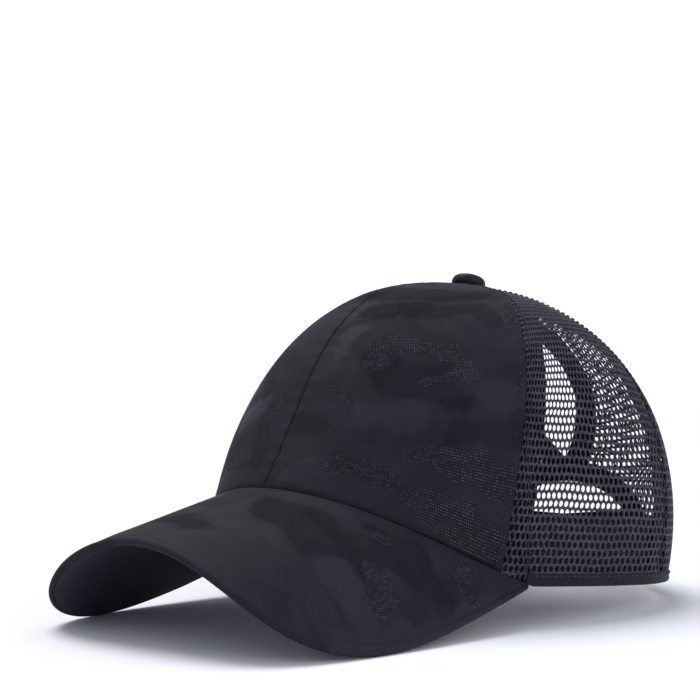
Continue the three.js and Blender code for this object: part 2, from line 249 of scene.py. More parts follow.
# %% Peak measures and surface
peak_reach = 59.1
peak_side_bulge, peak_side_shape, peak_front_shape = -0.036, 0.522, 0.365
peak_end_trim = 0.012
peak_thickness = 2.6
peak_edge_lift = 1.2
peak_seam_depth = 3.0


def peak_edge_plan(turn):
    angle = turn * math.pi / 2
    side = np.sign(angle) * np.abs(np.sin(angle)) ** peak_side_shape
    x = peak_corner[0] * side * (1 + peak_side_bulge * np.sin(2 * np.abs(angle)))
    forwards = np.abs(np.cos(angle)) ** peak_front_shape
    y = peak_corner[1] + (-front_length - peak_reach - peak_corner[1]) * forwards
    return np.stack([x, y], -1)


edge_sample_count = 801
even = np.linspace(-1, 1, edge_sample_count)
edge_samples = peak_edge_plan(np.sign(even) * (1 - (1 - np.abs(even)) ** 3))
edge_steps = np.linalg.norm(np.diff(edge_samples, axis=0), axis=1)
edge_lengths = np.concatenate([[0], np.cumsum(edge_steps)])


def peak_edge_at(share):
    target = np.asarray(share) * edge_lengths[-1]
    x = np.interp(target, edge_lengths, edge_samples[:, 0])
    y = np.interp(target, edge_lengths, edge_samples[:, 1])
    return np.stack([x, y], -1)


def peak_normal(x, y, step=1e-3):
    slope_x = (peak_height(x + step, y) - peak_height(x - step, y)) / (2 * step)
    slope_y = (peak_height(x, y + step) - peak_height(x, y - step)) / (2 * step)
    return unit(np.stack([-slope_x, -slope_y, np.ones_like(slope_x)], -1))


def peak_plan(share, outwards):
    """Seen from above: share runs from end to end, outwards from the seam at 0 to the edge at 1."""
    rim = np.stack(rim_plan(-peak_end + 2 * peak_end * share), -1)
    return rim + (peak_edge_at(share) - rim) * np.asarray(outwards)[..., None]


def peak_point(share, outwards, depth):
    plan = peak_plan(share, outwards)
    x, y = plan[..., 0], plan[..., 1]
    top = np.stack([x, y, peak_height(x, y) + peak_edge_lift * outwards], -1)
    return top - peak_normal(x, y) * np.asarray(depth)[..., None]


def peak_seam_point(share, depth):
    """The peak's sewn edge, which lies under the crown's wall."""
    angle = -peak_end + 2 * peak_end * share
    down = -unit(along_meridian(angle, 0.0)) * np.asarray(depth)[..., None]
    return crown_point(angle, 0.0, peak_seam_depth) + down


print("peak edge", round(float(edge_lengths[-1]), 1), "mm long")


# %% [markdown]
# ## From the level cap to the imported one
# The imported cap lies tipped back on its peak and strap. The same tip and shift bring every point
# of this script into the frame. The tip is the angle that the part was made with, and the shift is
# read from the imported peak, so nothing has to be fitted by eye.

# %% Placing points in the frame
rest_tilt = math.radians(-4.4)
cad_peak_columns = 32
millimetre = 0.001


def tipped(points):
    x, y, z = points[..., 0], points[..., 1], points[..., 2]
    c, s = math.cos(rest_tilt), math.sin(rest_tilt)
    return np.stack([x, y * c - z * s, y * s + z * c], -1)


cad_shares = np.linspace(1 - peak_end_trim, peak_end_trim, cad_peak_columns + 1)
cad_outwards = np.ones_like(cad_shares)
cad_edge = [tipped(peak_point(cad_shares, cad_outwards, depth)) for depth in (0.0, peak_thickness)]
own_low = np.concatenate(cad_edge).min(axis=0)
packed_low = np.array(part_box("peak")[0]) / millimetre
shift = np.array([0, packed_low[1] - own_low[1], packed_low[2] - own_low[2]])


def place(points):
    return (tipped(np.asarray(points, float)) + shift) * millimetre


print("shift in the frame, mm:", shift.round(3))

# %% [markdown]
# ## Meshes from grids
# Nearly every piece here is a grid of points: rows that go up, columns that go round. One helper
# makes a wall with an outside and an inside from two grids, and another sweeps a closed section
# along a path. Both keep a map in millimetres, which the weaves and patterns read, so a pattern
# keeps its real size and follows the cloth.

# %% Mesh helpers
map_name = "flat"
merge_distance = 2e-6
sides = ((1, "left"), (-1, "right"))


def link(name, data):
    obj = bpy.data.objects.new(name, data)
    scene.collection.objects.link(obj)
    return obj


def mirrored(points, side):
    """The points as they are for the wearer's left, side 1, or on the other side for -1."""
    return points * np.array([side, 1, 1])


def add_field(mesh, field, values, kind="FLOAT"):
    """A number at each point of a mesh, or with FLOAT_VECTOR a place or direction."""
    layer = mesh.attributes.new(field, kind, "POINT")
    key = "value" if kind == "FLOAT" else "vector"
    layer.data.foreach_set(key, np.asarray(values, np.float32).ravel())


def clean(mesh, merge=0.0, turn_out=False):
    """Merges points that are closer than merge, and then turns the faces outwards."""
    work = bmesh.new()
    work.from_mesh(mesh)
    if merge:
        bmesh.ops.remove_doubles(work, verts=work.verts, dist=merge)
    if turn_out:
        bmesh.ops.recalc_face_normals(work, faces=work.faces)
    work.to_mesh(mesh)
    work.free()


def build_mesh(name, points, faces, corner_map, materials, face_materials=None, fields=None):
    """Points are in level-cap millimetres. corner_map gives each face corner its place on the cloth."""
    mesh = bpy.data.meshes.new(name)
    mesh.from_pydata(place(points).tolist(), [], [list(face) for face in faces])
    layer = mesh.uv_layers.new(name=map_name)
    layer.data.foreach_set("uv", np.asarray(corner_map, np.float32).ravel())
    for material in materials:
        mesh.materials.append(material)
    if face_materials is not None:
        mesh.polygons.foreach_set("material_index", np.asarray(face_materials, np.int32))
    for field, values in (fields or {}).items():
        add_field(mesh, field, values)
    clean(mesh, merge_distance, turn_out=True)
    mesh.polygons.foreach_set("use_smooth", [True] * len(mesh.polygons))
    return link(name, mesh)


def quads_of(rows, columns, wrap_rows=False, wrap_columns=False):
    """Each quad's corners as (row, column), where a wrapped side counts one further, and as numbers."""
    r = np.arange(rows if wrap_rows else rows - 1)
    c = np.arange(columns if wrap_columns else columns - 1)
    rr, cc = (a.ravel() for a in np.meshgrid(r, c, indexing="ij"))
    corners = ((rr, cc), (rr, cc + 1), (rr + 1, cc + 1), (rr + 1, cc))
    quads = np.stack([np.stack(corner, -1) for corner in corners], 1)
    return quads, (quads[..., 0] % rows) * columns + quads[..., 1] % columns


def wall(name, outer, inner, flat, materials, inner_material=0, fields=None):
    """A closed wall between an outer and an inner grid. flat is the map of the grid's points."""
    rows, columns = outer.shape[:2]
    count = rows * columns
    index = quads_of(rows, columns)[1]
    numbers = np.arange(count).reshape(rows, columns)
    border = []
    for line in (numbers[0], numbers[-1], numbers[:, 0], numbers[:, -1]):
        border.append(np.stack([line[:-1], line[1:], line[1:] + count, line[:-1] + count], 1))
    faces = np.concatenate([index, index[:, ::-1] + count, *border])
    both = np.concatenate([flat.reshape(-1, 2), flat.reshape(-1, 2)])
    marks = np.zeros(len(faces), int)
    marks[len(index):2 * len(index)] = inner_material
    doubled = {key: np.tile(value.ravel(), 2) for key, value in (fields or {}).items()}
    points = np.concatenate([outer.reshape(-1, 3), inner.reshape(-1, 3)])
    return build_mesh(name, points, faces, both[faces].reshape(-1, 2), materials, marks, doubled)


def sweep(name, rings, materials, closed_path=False):
    """A closed section carried along a path. rings is (steps along it, points round the section, 3)."""
    steps, around = rings.shape[:2]
    quads, index = quads_of(steps, around, wrap_rows=closed_path, wrap_columns=True)
    middle = rings.mean(axis=1)
    along = lengths_along(np.concatenate([middle, middle[:1]]), 0)
    round_ring = lengths_along(np.concatenate([rings[0], rings[0][:1]]), 0)
    corner_map = np.stack([along[quads[..., 0]], round_ring[quads[..., 1]]], -1).reshape(-1, 2)
    faces = [list(face) for face in index]
    if not closed_path:
        for start in (0, (steps - 1) * around):
            faces.append(list(range(start, start + around)))
            corner_map = np.concatenate([corner_map, np.zeros((around, 2))])
    return build_mesh(name, rings.reshape(-1, 3), faces, corner_map, materials)


def finish_piece(obj, slot, *nodes):
    """Puts a piece under the root body and hides the CAD nodes that it stands for. slot is not used."""
    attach(obj, "root")
    if nodes:
        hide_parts(*nodes)
    triangles = sum(len(face.vertices) - 2 for face in obj.data.polygons)
    print(obj.name, "triangles:", triangles)
    return obj


def lengths_along(points, axis):
    """How far each point of a grid lies from the first one, measured along one axis of the grid."""
    steps = np.linalg.norm(np.diff(points, axis=axis), axis=-1)
    zero = np.zeros_like(np.take(steps, [0], axis=axis))
    return np.concatenate([zero, np.cumsum(steps, axis=axis)], axis=axis)


# %% A patch of crown between two climbing lines
def crown_patch(start, end, bottom, top, rows, columns, rounds=5):
    """Angles and heights t of a grid over the crown. The lines are functions of t or of the angle."""
    up, share = np.meshgrid(np.linspace(0, 1, rows), np.linspace(0, 1, columns), indexing="ij")
    t = up.copy()
    for _ in range(rounds):
        angle = start(t) + (end(t) - start(t)) * share
        low = bottom(angle)
        t = low + (top(angle) - low) * up
    return angle, t


def smooth(value, low, high):
    """A soft step from 0 at low to 1 at high."""
    s = np.clip((value - low) / (high - low), 0, 1)
    return s * s * (3 - 2 * s)


def ridge(distance, height, width):
    """A soft ridge or groove that fades with the distance from its middle."""
    return height * np.exp(-((distance / width) ** 2))


# %% [markdown]
# ## Camera
# The photograph is taken from the front and the wearer's left, almost level with the table, with a
# long lens. The camera is placed by its turn round the cap, its height and its distance, measured
# on the level cap and tipped with it.

# %% Camera
camera_turn, camera_rise, camera_roll = (math.radians(a) for a in (41.628, -4.81, 2.524))
camera_distance = 623.9
camera_aside, camera_up = -46.5, 90.5
focal_pixels, image_pixels, film_width = 1512.0, 700, 36.0

back = np.array([math.sin(camera_turn) * math.cos(camera_rise),
                 -math.cos(camera_turn) * math.cos(camera_rise), math.sin(camera_rise)])
level_right = np.array([math.cos(camera_turn), math.sin(camera_turn), 0.0])
level_up = np.cross(back, level_right)
right = level_right * math.cos(camera_roll) + level_up * math.sin(camera_roll)
upwards = level_up * math.cos(camera_roll) - level_right * math.sin(camera_roll)
stand = back * camera_distance + right * camera_aside + upwards * camera_up
axes = np.stack([tipped(v) for v in (right, upwards, back)], axis=1)
camera_data = bpy.data.cameras.new("camera")
camera_data.sensor_width = film_width
camera_data.lens = focal_pixels / image_pixels * film_width
camera = link("camera", camera_data)
camera.matrix_world = Matrix.Translation(place(stand)) @ Matrix(axes.tolist()).to_4x4()
bpy.context.scene.camera = camera
print("camera at", [round(v, 3) for v in camera.matrix_world.translation])

# %% [markdown]
# ## Floor and light
# The cap stands on white paper in a white studio, so the floor and the air behind it are both
# pure white and no horizon shows. One broad sun stands for the soft boxes overhead. It gives the
# soft shadow under the peak. A panel low down at the wearer's left gives the pale sheen along the
# front panels. The white air looks brighter than it shines, or it would wash the black cloth out.

# %% Floor and light
scene.view_settings.view_transform = "Standard"
scene.view_settings.look = "None"
floor_size = 12.0
floor_mesh = bpy.data.meshes.new("floor")
half = floor_size / 2
floor_corners = [(-half, -half, 0), (half, -half, 0), (half, half, 0), (-half, half, 0)]
floor_mesh.from_pydata(floor_corners, [], [(0, 1, 2, 3)])
floor = link("floor", floor_mesh)
floor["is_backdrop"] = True

world = bpy.data.worlds.new("studio")
world.use_nodes = True
scene.world = world
seen_white, lit_white = 1.3, 0.64
cool_white = (0.84, 0.87, 1.0, 1.0)
studio = world.node_tree
background = studio.nodes["Background"]
background.inputs["Color"].default_value = cool_white
rays = studio.nodes.new("ShaderNodeLightPath")
strength = studio.nodes.new("ShaderNodeMapRange")
strength.inputs["To Min"].default_value = lit_white
strength.inputs["To Max"].default_value = seen_white
studio.links.new(rays.outputs["Is Camera Ray"], strength.inputs["Value"])
studio.links.new(strength.outputs["Result"], background.inputs["Strength"])


def add_light(name, kind, energy, place_at, look_at, **settings):
    data = bpy.data.lights.new(name, kind)
    data.energy = energy
    for key, value in settings.items():
        setattr(data, key, value)
    obj = link(name, data)
    direction = Vector(place_at) - Vector(look_at)
    turned = direction.to_track_quat("Z", "Y").to_matrix().to_4x4()
    obj.matrix_world = Matrix.Translation(place_at) @ turned


add_light("overhead", "SUN", 1.95, (-0.4, 0.05, 1.0), (0, 0, 0), angle=math.radians(36))
add_light("panel", "AREA", 4.2, (1.25, -0.25, 0.4), (0, 0, 0.06), size=0.9)

# %% [markdown]
# ## Nodes in Python
# A material or a Geometry Nodes tree is a graph of small steps. Written out node by node it hides
# its idea, so one class adds nodes and another wraps an output, so that sums and products of
# outputs can be written as they are on paper.

# %% Node helpers
class Term:
    """An output of a node that can stand in a Python expression."""

    def __init__(self, graph, socket):
        self.graph = graph
        self.socket = socket

    def math(self, operation, *others):
        values = dict(enumerate([self, *others]))
        return self.graph.add("ShaderNodeMath", {"operation": operation}, values)

    def __add__(self, other):
        return self.math("ADD", other)

    def __sub__(self, other):
        return self.math("SUBTRACT", other)

    def __mul__(self, other):
        return self.math("MULTIPLY", other)

    def __truediv__(self, other):
        return self.math("DIVIDE", other)

    def __rsub__(self, other):
        return (self * -1) + other

    __radd__ = __add__
    __rmul__ = __mul__

    def step(self, low, high):
        settings = {"interpolation_type": "SMOOTHSTEP"}
        sockets = {"Value": self, "From Min": low, "From Max": high}
        return self.graph.add("ShaderNodeMapRange", settings, sockets)


class Graph:
    """A node tree with one way to add a node: its type, its settings, the values of its sockets."""

    def __init__(self, tree):
        self.tree = tree

    def node(self, kind, settings=None, sockets=None):
        node = self.tree.nodes.new(kind)
        for key, value in (settings or {}).items():
            setattr(node, key, value)
        for key, value in (sockets or {}).items():
            if isinstance(value, Term):
                self.tree.links.new(value.socket, node.inputs[key])
            else:
                node.inputs[key].default_value = value
        return node

    def add(self, kind, settings=None, sockets=None, output=0):
        node = self.node(kind, settings, sockets)
        return Term(self, node.outputs[output])

    def mix(self, factor, first, second):
        settings = {"data_type": "RGBA", "clamp_factor": True}
        return self.add("ShaderNodeMix", settings, {"Factor": factor, 6: first, 7: second}, 2)

    def noise(self, vector, scale, detail=2.0, roughness=0.5, distortion=0.0):
        sockets = {"Vector": vector, "Scale": scale, "Detail": detail}
        sockets.update({"Roughness": roughness, "Distortion": distortion})
        return self.add("ShaderNodeTexNoise", {}, sockets)

    def bands(self, vector, scale, distortion, detail=2.0):
        settings = {"wave_type": "BANDS", "bands_direction": "X"}
        sockets = {"Vector": vector, "Scale": scale, "Distortion": distortion, "Detail": detail}
        return self.add("ShaderNodeTexWave", settings, sockets, 1)

    def mapped(self, vector, location=(0, 0, 0), rotation=(0, 0, 0), scale=(1, 1, 1)):
        sockets = {"Vector": vector, "Location": location, "Rotation": rotation, "Scale": scale}
        return self.add("ShaderNodeMapping", {}, sockets)

    def cloth_map(self):
        return self.add("ShaderNodeUVMap", {"uv_map": map_name})

    def painted(self, field):
        return self.add("ShaderNodeAttribute", {"attribute_name": field}, {}, 2)

    def own_place(self):
        return self.add("ShaderNodeTexCoord", {}, {}, 3)

    def named(self, name, kind="FLOAT"):
        return self.add("GeometryNodeInputNamedAttribute", {"data_type": kind}, {"Name": name})


def start_material(name):
    material = bpy.data.materials.new(name)
    material.use_nodes = True
    material.node_tree.nodes.clear()
    return material, Graph(material.node_tree)


def end_material(graph, varying, constant, height=None):
    """Closes a material. Varying sockets take links, constant ones numbers; height is in millimetres."""
    sockets = dict(constant)
    sockets.update(varying)
    if height is not None:
        values = {"Height": height, "Distance": millimetre, "Strength": 1.0}
        sockets["Normal"] = graph.add("ShaderNodeBump", {}, values)
    shader = graph.add("ShaderNodeBsdfPrincipled", {}, sockets)
    graph.node("ShaderNodeOutputMaterial", {}, {"Surface": shader})


# %% [markdown]
# ## The camouflage cloth
# The front panels, the peak and the button share one black cloth with a pattern woven into it:
# glossy ground, dull blotches, paler satin blotches and open dotted patches. It is all one colour
# of thread, so the pattern shows by gloss more than by tone. The blotches could be noise alone,
# but some have to lie where the photograph shows them. So the large ones are strokes that come as
# a field on the mesh, and slow noise on the cloth's own map adds faint ones. The dotted patches
# are a field too, because their threads are real geometry and both have to agree.
# Some strokes are painted shade instead of pattern: they darken the crown's top, which the overhead light
# leaves too bright. The button is painted pale all over, which is painted light for its lit top.

# %% Camouflage cloth
twill_turn = math.radians(58)


def cloth_material():
    material, g = start_material("camouflage_cloth")
    flat = g.cloth_map()
    wide = g.mapped(flat, location=(31.0, 17.0, 0.0), scale=(0.8, 1.35, 1.0))
    dull_and_painted_shade = g.noise(wide, 0.030, 2.5, 0.45, 0.5).step(0.50, 0.545)
    other = g.mapped(flat, location=(-57.0, 83.0, 0.0), rotation=(0, 0, 0.35), scale=(0.9, 1.4, 1.0))
    pale_and_painted_light = g.noise(other, 0.026, 2.0, 0.4, 0.6).step(0.515, 0.56)
    dotted = g.painted("dotted").step(0.0, 1.6)
    worn = g.noise(flat, 0.12, 3.0)
    # The shade field holds the blotches, and also painted shade that darkens the crown's top and painted
    # light that makes the button pale.
    shade = g.painted("shade") * 0.85
    dull_and_painted_shade = shade * -1.0 + dull_and_painted_shade * 0.35
    pale_and_painted_light = shade.step(0.0, 1.0) + pale_and_painted_light * 0.35
    tone = g.mix(dull_and_painted_shade, (0.0180, 0.0165, 0.0223, 1), (0.0122, 0.0111, 0.0158, 1))
    tone = g.mix(pale_and_painted_light * (1 - dull_and_painted_shade), tone, (0.0244, 0.0224, 0.0294, 1))
    tone = g.mix(dotted * 0.9, tone, (0.0120, 0.0110, 0.0154, 1))
    tone = g.mix(worn.step(0.35, 0.75) * 0.2, tone, (0.0270, 0.0258, 0.0325, 1))
    rough = 0.60 + dull_and_painted_shade * 0.25 - pale_and_painted_light * 0.08 + dotted * 0.1
    thread = g.mapped(flat, rotation=(0, 0, twill_turn))
    twill = g.bands(thread, 0.55, 1.2, 1.0)
    height = twill * 0.022 + g.noise(flat, 0.07, 2.0) * 0.55 + g.noise(flat, 1.6, 1.0) * 0.03
    varying = {"Base Color": tone, "Roughness": rough}
    constant = {"Specular IOR Level": 0.06, "Sheen Weight": 0.01, "Sheen Roughness": 0.4}
    end_material(g, varying, constant, height)
    return material


cloth = cloth_material()
print("nodes in the camouflage cloth:", len(cloth.node_tree.nodes))


# %% [markdown]
# ## Threads, tapes and bands
# The other cloths differ in colour, in gloss and in the direction of their ribs. A tape is woven
# with fine ribs across its width, the strap has a dull short pile, the sweatband is a soft jersey,
# and the lining under the peak is a plain dark twill.

# %% Plain cloths
wave_of_one = 0.314


def ribbed_material(name, colour, lighter, roughness, rib, rib_height, sheen, rib_turn=0.0):
    """Cloth with ribs: rib is their spacing and rib_height their height, in millimetres."""
    material, g = start_material(name)
    flat = g.cloth_map()
    turned = g.mapped(flat, rotation=(0, 0, rib_turn))
    ribs = g.bands(turned, wave_of_one / rib, 0.8)
    fuzz = g.noise(flat, 0.9, 3.0)
    patchy = g.noise(flat, 0.05, 2.0).step(0.35, 0.7)
    tone = g.mix(fuzz.step(0.4, 0.7) * 0.5 + patchy * 0.3, colour, lighter)
    tone = g.mix(ribs * 0.25, tone, (0.004, 0.004, 0.006, 1))
    height = ribs * rib_height + fuzz * 0.06
    varying = {"Base Color": tone, "Roughness": roughness - patchy * 0.06}
    constant = {"Specular IOR Level": 0.07, "Sheen Weight": sheen * 0.3, "Sheen Roughness": 0.5}
    end_material(g, varying, constant, height)
    return material


def thread_material(name, colour, lighter, roughness, specular, fineness=1400.0):
    """Spun thread: fine flecks along it, the light ones partly painted glints of the twisted yarn, and slow
    changes from place to place.
    """
    material, g = start_material(name)
    spot = g.own_place()
    fibre_flecks_and_painted_glints = g.noise(spot, fineness, 2.0)
    slow = g.noise(spot, 60.0, 2.0)
    tone = g.mix(fibre_flecks_and_painted_glints.step(0.42, 0.66) * 0.75 + slow.step(0.3, 0.7) * 0.25, colour, lighter)
    varying = {"Base Color": tone, "Roughness": roughness + fibre_flecks_and_painted_glints * 0.1}
    constant = {"Specular IOR Level": specular}
    end_material(g, varying, constant, fibre_flecks_and_painted_glints * 0.05)
    return material


tape_cloth = ribbed_material(
    "binding_tape", (0.0095, 0.0097, 0.0135, 1), (0.0150, 0.0152, 0.0200, 1),
    roughness=0.62, rib=0.9, rib_height=0.03, sheen=0.08)
hem_cloth = ribbed_material(
    "hem_cloth", (0.0150, 0.0152, 0.0205, 1), (0.0250, 0.0250, 0.0320, 1),
    roughness=0.58, rib=0.8, rib_height=0.03, sheen=0.1)
sweat_cloth = ribbed_material(
    "sweatband_jersey", (0.0230, 0.0235, 0.0300, 1), (0.0360, 0.0370, 0.0450, 1),
    roughness=0.8, rib=0.7, rib_height=0.04, sheen=0.15, rib_turn=1.57)
# The rear tapes are lighter than the other tapes: painted sheen, for the pale sheen that the net shows over
# them when seen at a slant. The real tapes are black like the others.
back_seam_tape_painted_sheen = ribbed_material(
    "back_tape_painted_sheen", (0.0230, 0.0230, 0.0320, 1), (0.0330, 0.0330, 0.0430, 1),
    roughness=0.62, rib=0.9, rib_height=0.03, sheen=0.1)
strap_cloth = ribbed_material(
    "strap_pile", (0.0110, 0.0112, 0.0150, 1), (0.0170, 0.0172, 0.0225, 1),
    roughness=0.75, rib=0.8, rib_height=0.05, sheen=0.2, rib_turn=0.8)
lining_cloth = ribbed_material(
    "peak_lining", (0.0430, 0.0435, 0.0620, 1), (0.0570, 0.0580, 0.0800, 1),
    roughness=0.7, rib=0.7, rib_height=0.03, sheen=0.05, rib_turn=0.9)
net_thread = thread_material(
    "net_thread", (0.0185, 0.0190, 0.0260, 1), (0.078, 0.079, 0.100, 1), roughness=0.5, specular=0.12)
patch_thread = thread_material(
    "patch_thread", (0.014, 0.0133, 0.0180, 1), (0.105, 0.100, 0.122, 1),
    roughness=0.5, specular=0.12, fineness=700.0)
black_thread = thread_material(
    "black_thread", (0.010, 0.010, 0.014, 1), (0.026, 0.026, 0.032, 1), roughness=0.5, specular=0.2)
sweat_thread = thread_material(
    "sweatband_thread", (0.040, 0.047, 0.046, 1), (0.085, 0.095, 0.090, 1),
    roughness=0.55, specular=0.2)
print("materials:", sorted(m.name for m in bpy.data.materials))


# %% Floor paper
def floor_material():
    material, g = start_material("floor_paper")
    spot = g.own_place()
    tone = g.mix(g.noise(spot, 3.0), (0.90, 0.90, 0.93, 1), (0.92, 0.92, 0.95, 1))
    end_material(g, {"Base Color": tone}, {"Roughness": 0.9, "Specular IOR Level": 0.1})
    return material


floor.data.materials.append(floor_material())
print("floor paper:", floor.data.materials[0].name)

# %% [markdown]
# ## The front panels
# The two front panels are sewn along the middle of the forehead, with a stiff backing that keeps
# them smooth. The seam pulls the cloth in, so it lies in a narrow groove with small puckers. At
# the net the cloth is turned under and stitched down again 3 mm away. The wall could be given a
# thickness by a modifier, but two grids let the groove press only the outer side.

# %% Strokes of the pattern
# Each stroke is (start, end, half width) in millimetres on the unrolled front: u to the wearer's
# left of the centre seam, v up from the crown's lower line. Strokes that touch make one patch.
# A shade has a fourth number, from -1 for a dull blotch to 1 for a pale one. The strokes along the
# crown's top are painted shade, not pattern. On the peak the places are seen from above: to the
# wearer's left, and forwards of the crown's middle.
front_strokes = [
    ((24, 61), (26, 55), 6.5),
    ((29, 60), (44, 61), 4.5),
    ((44, 61), (57, 55), 4.5),
    ((57, 54), (60, 51), 3.5),
    ((57, 51), (46, 47), 3.0),
    ((13, 42), (20, 37), 2.6),
    ((26, 13), (34, 14), 5.0),
    ((34, 13), (56, 9), 3.6),
    ((50, 22), (62, 23), 3.0),
    ((62, 23), (85, 21), 5.5),
    ((58, 9), (74, 9), 5.0),
    ((70, 6), (88, 4), 6.0),
    ((62, 86), (70, 72), 3.5),
    ((-11, 38), (-15, 28), 3.6),
    ((-30, 80), (-40, 60), 6.5),
    ((-42, 56), (-50, 42), 6.0),
    ((-28, 14), (-48, 12), 4.4),
    ((-62, 32), (-84, 26), 5.0),
    ((-66, 60), (-60, 74), 4.0),
    ((-20, 98), (-8, 104), 3.0),
]
front_blotches_and_painted_shade = [
    ((24, 55), (35, 46), 6.0, -1.0),
    ((35, 46), (49, 46), 6.5, -1.0),
    ((50, 45), (62, 41), 4.0, -0.9),
    ((62, 31), (90, 34), 4.0, -0.9),
    ((28, 80), (45, 85), 5.5, -0.8),
    ((45, 85), (60, 76), 4.5, -0.8),
    ((4, 27), (12, 27), 4.5, -0.8),
    ((-10, 12), (-14, 24), 4.0, -0.7),
    ((8, 5), (16, 9), 3.5, 0.9),
    ((70, 44), (84, 46), 5.0, 0.7),
    ((30, 32), (48, 34), 5.5, 0.6),
    # Painted shade: this stroke and the next one darken the crown's top, which the overhead light leaves too
    # bright.
    ((6, 98), (40, 98), 8.0, -0.8),
    ((10, 80), (24, 84), 5.5, -0.9),
    ((-22, 36), (-34, 28), 5.0, 0.7),
    ((-44, 44), (-60, 30), 7.0, 0.9),
    # Painted shade on the crown's top, as above.
    ((-6, 96), (-36, 94), 9.0, -0.6),
    ((8, 60), (10, 70), 4.0, 0.5),
    ((-24, 44), (-34, 54), 5.0, -0.6),
    ((-52, 30), (-66, 36), 6.0, -0.9),
    ((-50, 70), (-40, 84), 5.0, -0.7),
    ((-70, 14), (-84, 10), 5.0, 0.8),
]
peak_blotches_and_painted_shade = [
    ((18, 133), (38, 128), 8.5, -1.0),
    ((36, 134), (48, 124), 9.5, -1.0),
    ((50, 113), (58, 104), 6.5, -1.0),
    ((66, 101), (71, 87), 4.5, -0.9),
    ((52, 137), (62, 134), 6.5, 0.8),
    ((68, 150), (73, 112), 3.5, 0.9),
    ((73, 112), (75, 76), 2.6, 0.9),
    ((46, 96), (52, 84), 4.5, 0.4),
    ((-20, 128), (-42, 120), 7.0, 0.7),
    ((-34, 150), (-50, 142), 7.0, -0.9),
    ((-56, 108), (-64, 90), 7.0, -0.9),
    ((-6, 156), (8, 160), 5.0, -0.6),
]
peak_strokes = [
    ((56, 123), (62, 122), 5.0),
    ((60, 130), (64, 127), 3.6),
    ((65, 84), (68, 87), 4.6),
    ((46, 113), (49, 110), 3.0),
    ((-30, 150), (-44, 144), 5.0),
    ((-10, 166), (-22, 168), 3.5),
    ((-60, 112), (-52, 124), 4.0),
]


def patch_wobble(u, v):
    wobble = np.sin(u * 0.31 + 2.1 * np.sin(v * 0.17)) + 0.8 * np.sin(v * 0.43 + 1.7 * np.sin(u * 0.19))
    return 0.8 * wobble + 0.35 * np.sin(u * 1.1 + v * 0.9) + 0.35 * np.sin(v * 1.7 - u * 0.6)


def inside_stroke(u, v, start, end, reach):
    """How far inside a brush stroke a place lies, in millimetres; negative outside."""
    (u1, v1), (u2, v2) = start, end
    run, climb = u2 - u1, v2 - v1
    along = np.clip(((u - u1) * run + (v - v1) * climb) / (run * run + climb * climb), 0, 1)
    return reach - np.hypot(u - u1 - along * run, v - v1 - along * climb)


def dotted_field(u, v, strokes):
    """Positive inside the dotted patches."""
    insides = [inside_stroke(u, v, *stroke) for stroke in strokes]
    return np.max(insides, axis=0) + patch_wobble(u, v)


def blotch_and_painted_shade_field(u, v, strokes, soft=1.6):
    """From -1 in the dull strokes to 1 in the pale ones: blotches, and painted shade on the crown's top.
    They wobble unlike the dotted patches.
    """
    total = np.zeros(np.shape(u))
    for start, end, reach, shade in strokes:
        inside = inside_stroke(u, v, start, end, reach) + patch_wobble(u + 9, v - 5)
        total = np.where(inside > -soft, total + (shade - total) * smooth(inside, -soft, soft), total)
    return total


print("strokes:", len(front_strokes) + len(peak_strokes), "shades:", len(front_blotches_and_painted_shade) + len(peak_blotches_and_painted_shade))


# %% Front panels
cloth_thickness = 1.5
seam_touch = 0.02
groove_depth, groove_width = 0.5, 0.45
side_turn_depth, side_turn_width = 0.8, 0.7
bottom_turn_depth, bottom_turn_width = 0.9, 0.8
fold_lift, fold_width, fold_soft = 0.3, 4.2, 0.8
front_rows, front_columns = 150, 110


def front_relief(u, to_seam, v, to_top):
    """Depth below the block's surface: the centre groove, the turned edges and soft waves."""
    groove = ridge(u, groove_depth, groove_width)
    edge = ridge(to_seam, side_turn_depth, side_turn_width) + ridge(v, bottom_turn_depth, bottom_turn_width)
    fold = fold_lift * (1 - smooth(to_seam, fold_width - fold_soft, fold_width + fold_soft))
    pucker = ridge(u, 0.14 * np.sin(v * 0.95), 4.5) + ridge(to_seam, 0.1 * np.sin(v * 1.3), 5)
    waves = 0.3 * np.sin(u * 0.09 + v * 0.05) * np.sin(v * 0.08 - 0.6)
    waves = waves * smooth(v, 2, 20) * smooth(to_top, 2, 20)
    return groove + edge - fold + pucker + waves


def front_grid():
    """The left panel's angles and heights t, and its map: u from the centre seam, v up."""
    lines = beside("front_centre", seam_touch), beside("front", -seam_touch)
    angle, t = crown_patch(*lines, panel_bottom, panel_top, front_rows, front_columns)
    surface = crown_surface(angle, t)
    u = lengths_along(surface, 1)
    climb = lengths_along(surface[:, :1], 0)
    v = np.broadcast_to(climb, u.shape)
    return angle, t, u, v


def front_panel(side, label):
    angle, t, u, v = front_grid()
    to_seam = u[:, -1:] - u
    to_top = v[-1:] - v
    outer = crown_point(angle, t, front_relief(u, to_seam, v, to_top))
    inner = crown_point(angle, t, np.full(u.shape, cloth_thickness))
    u = side * u
    fields = {"dotted": dotted_field(u, v, front_strokes), "shade": blotch_and_painted_shade_field(u, v, front_blotches_and_painted_shade)}
    panel = wall(f"front_panel_{label}_cloth", mirrored(outer, side), mirrored(inner, side),
                 np.stack([u, v], -1), [cloth, lining_cloth], 1, fields)
    finish_piece(panel, "front_cloth", f"front_panel_{label}")


for side, label in sides:
    front_panel(side, label)

# %% [markdown]
# ## The peak
# The peak is a board between two layers of cloth: the camouflage above, a dark lining below. Its
# edge is turned and sewn, so a thin roll runs round it, with a shallow furrow beside the roll.
# The section is swept from one end of the peak to the other as a closed loop, so the rounding at
# the edge is real and the lining can take its own finish.

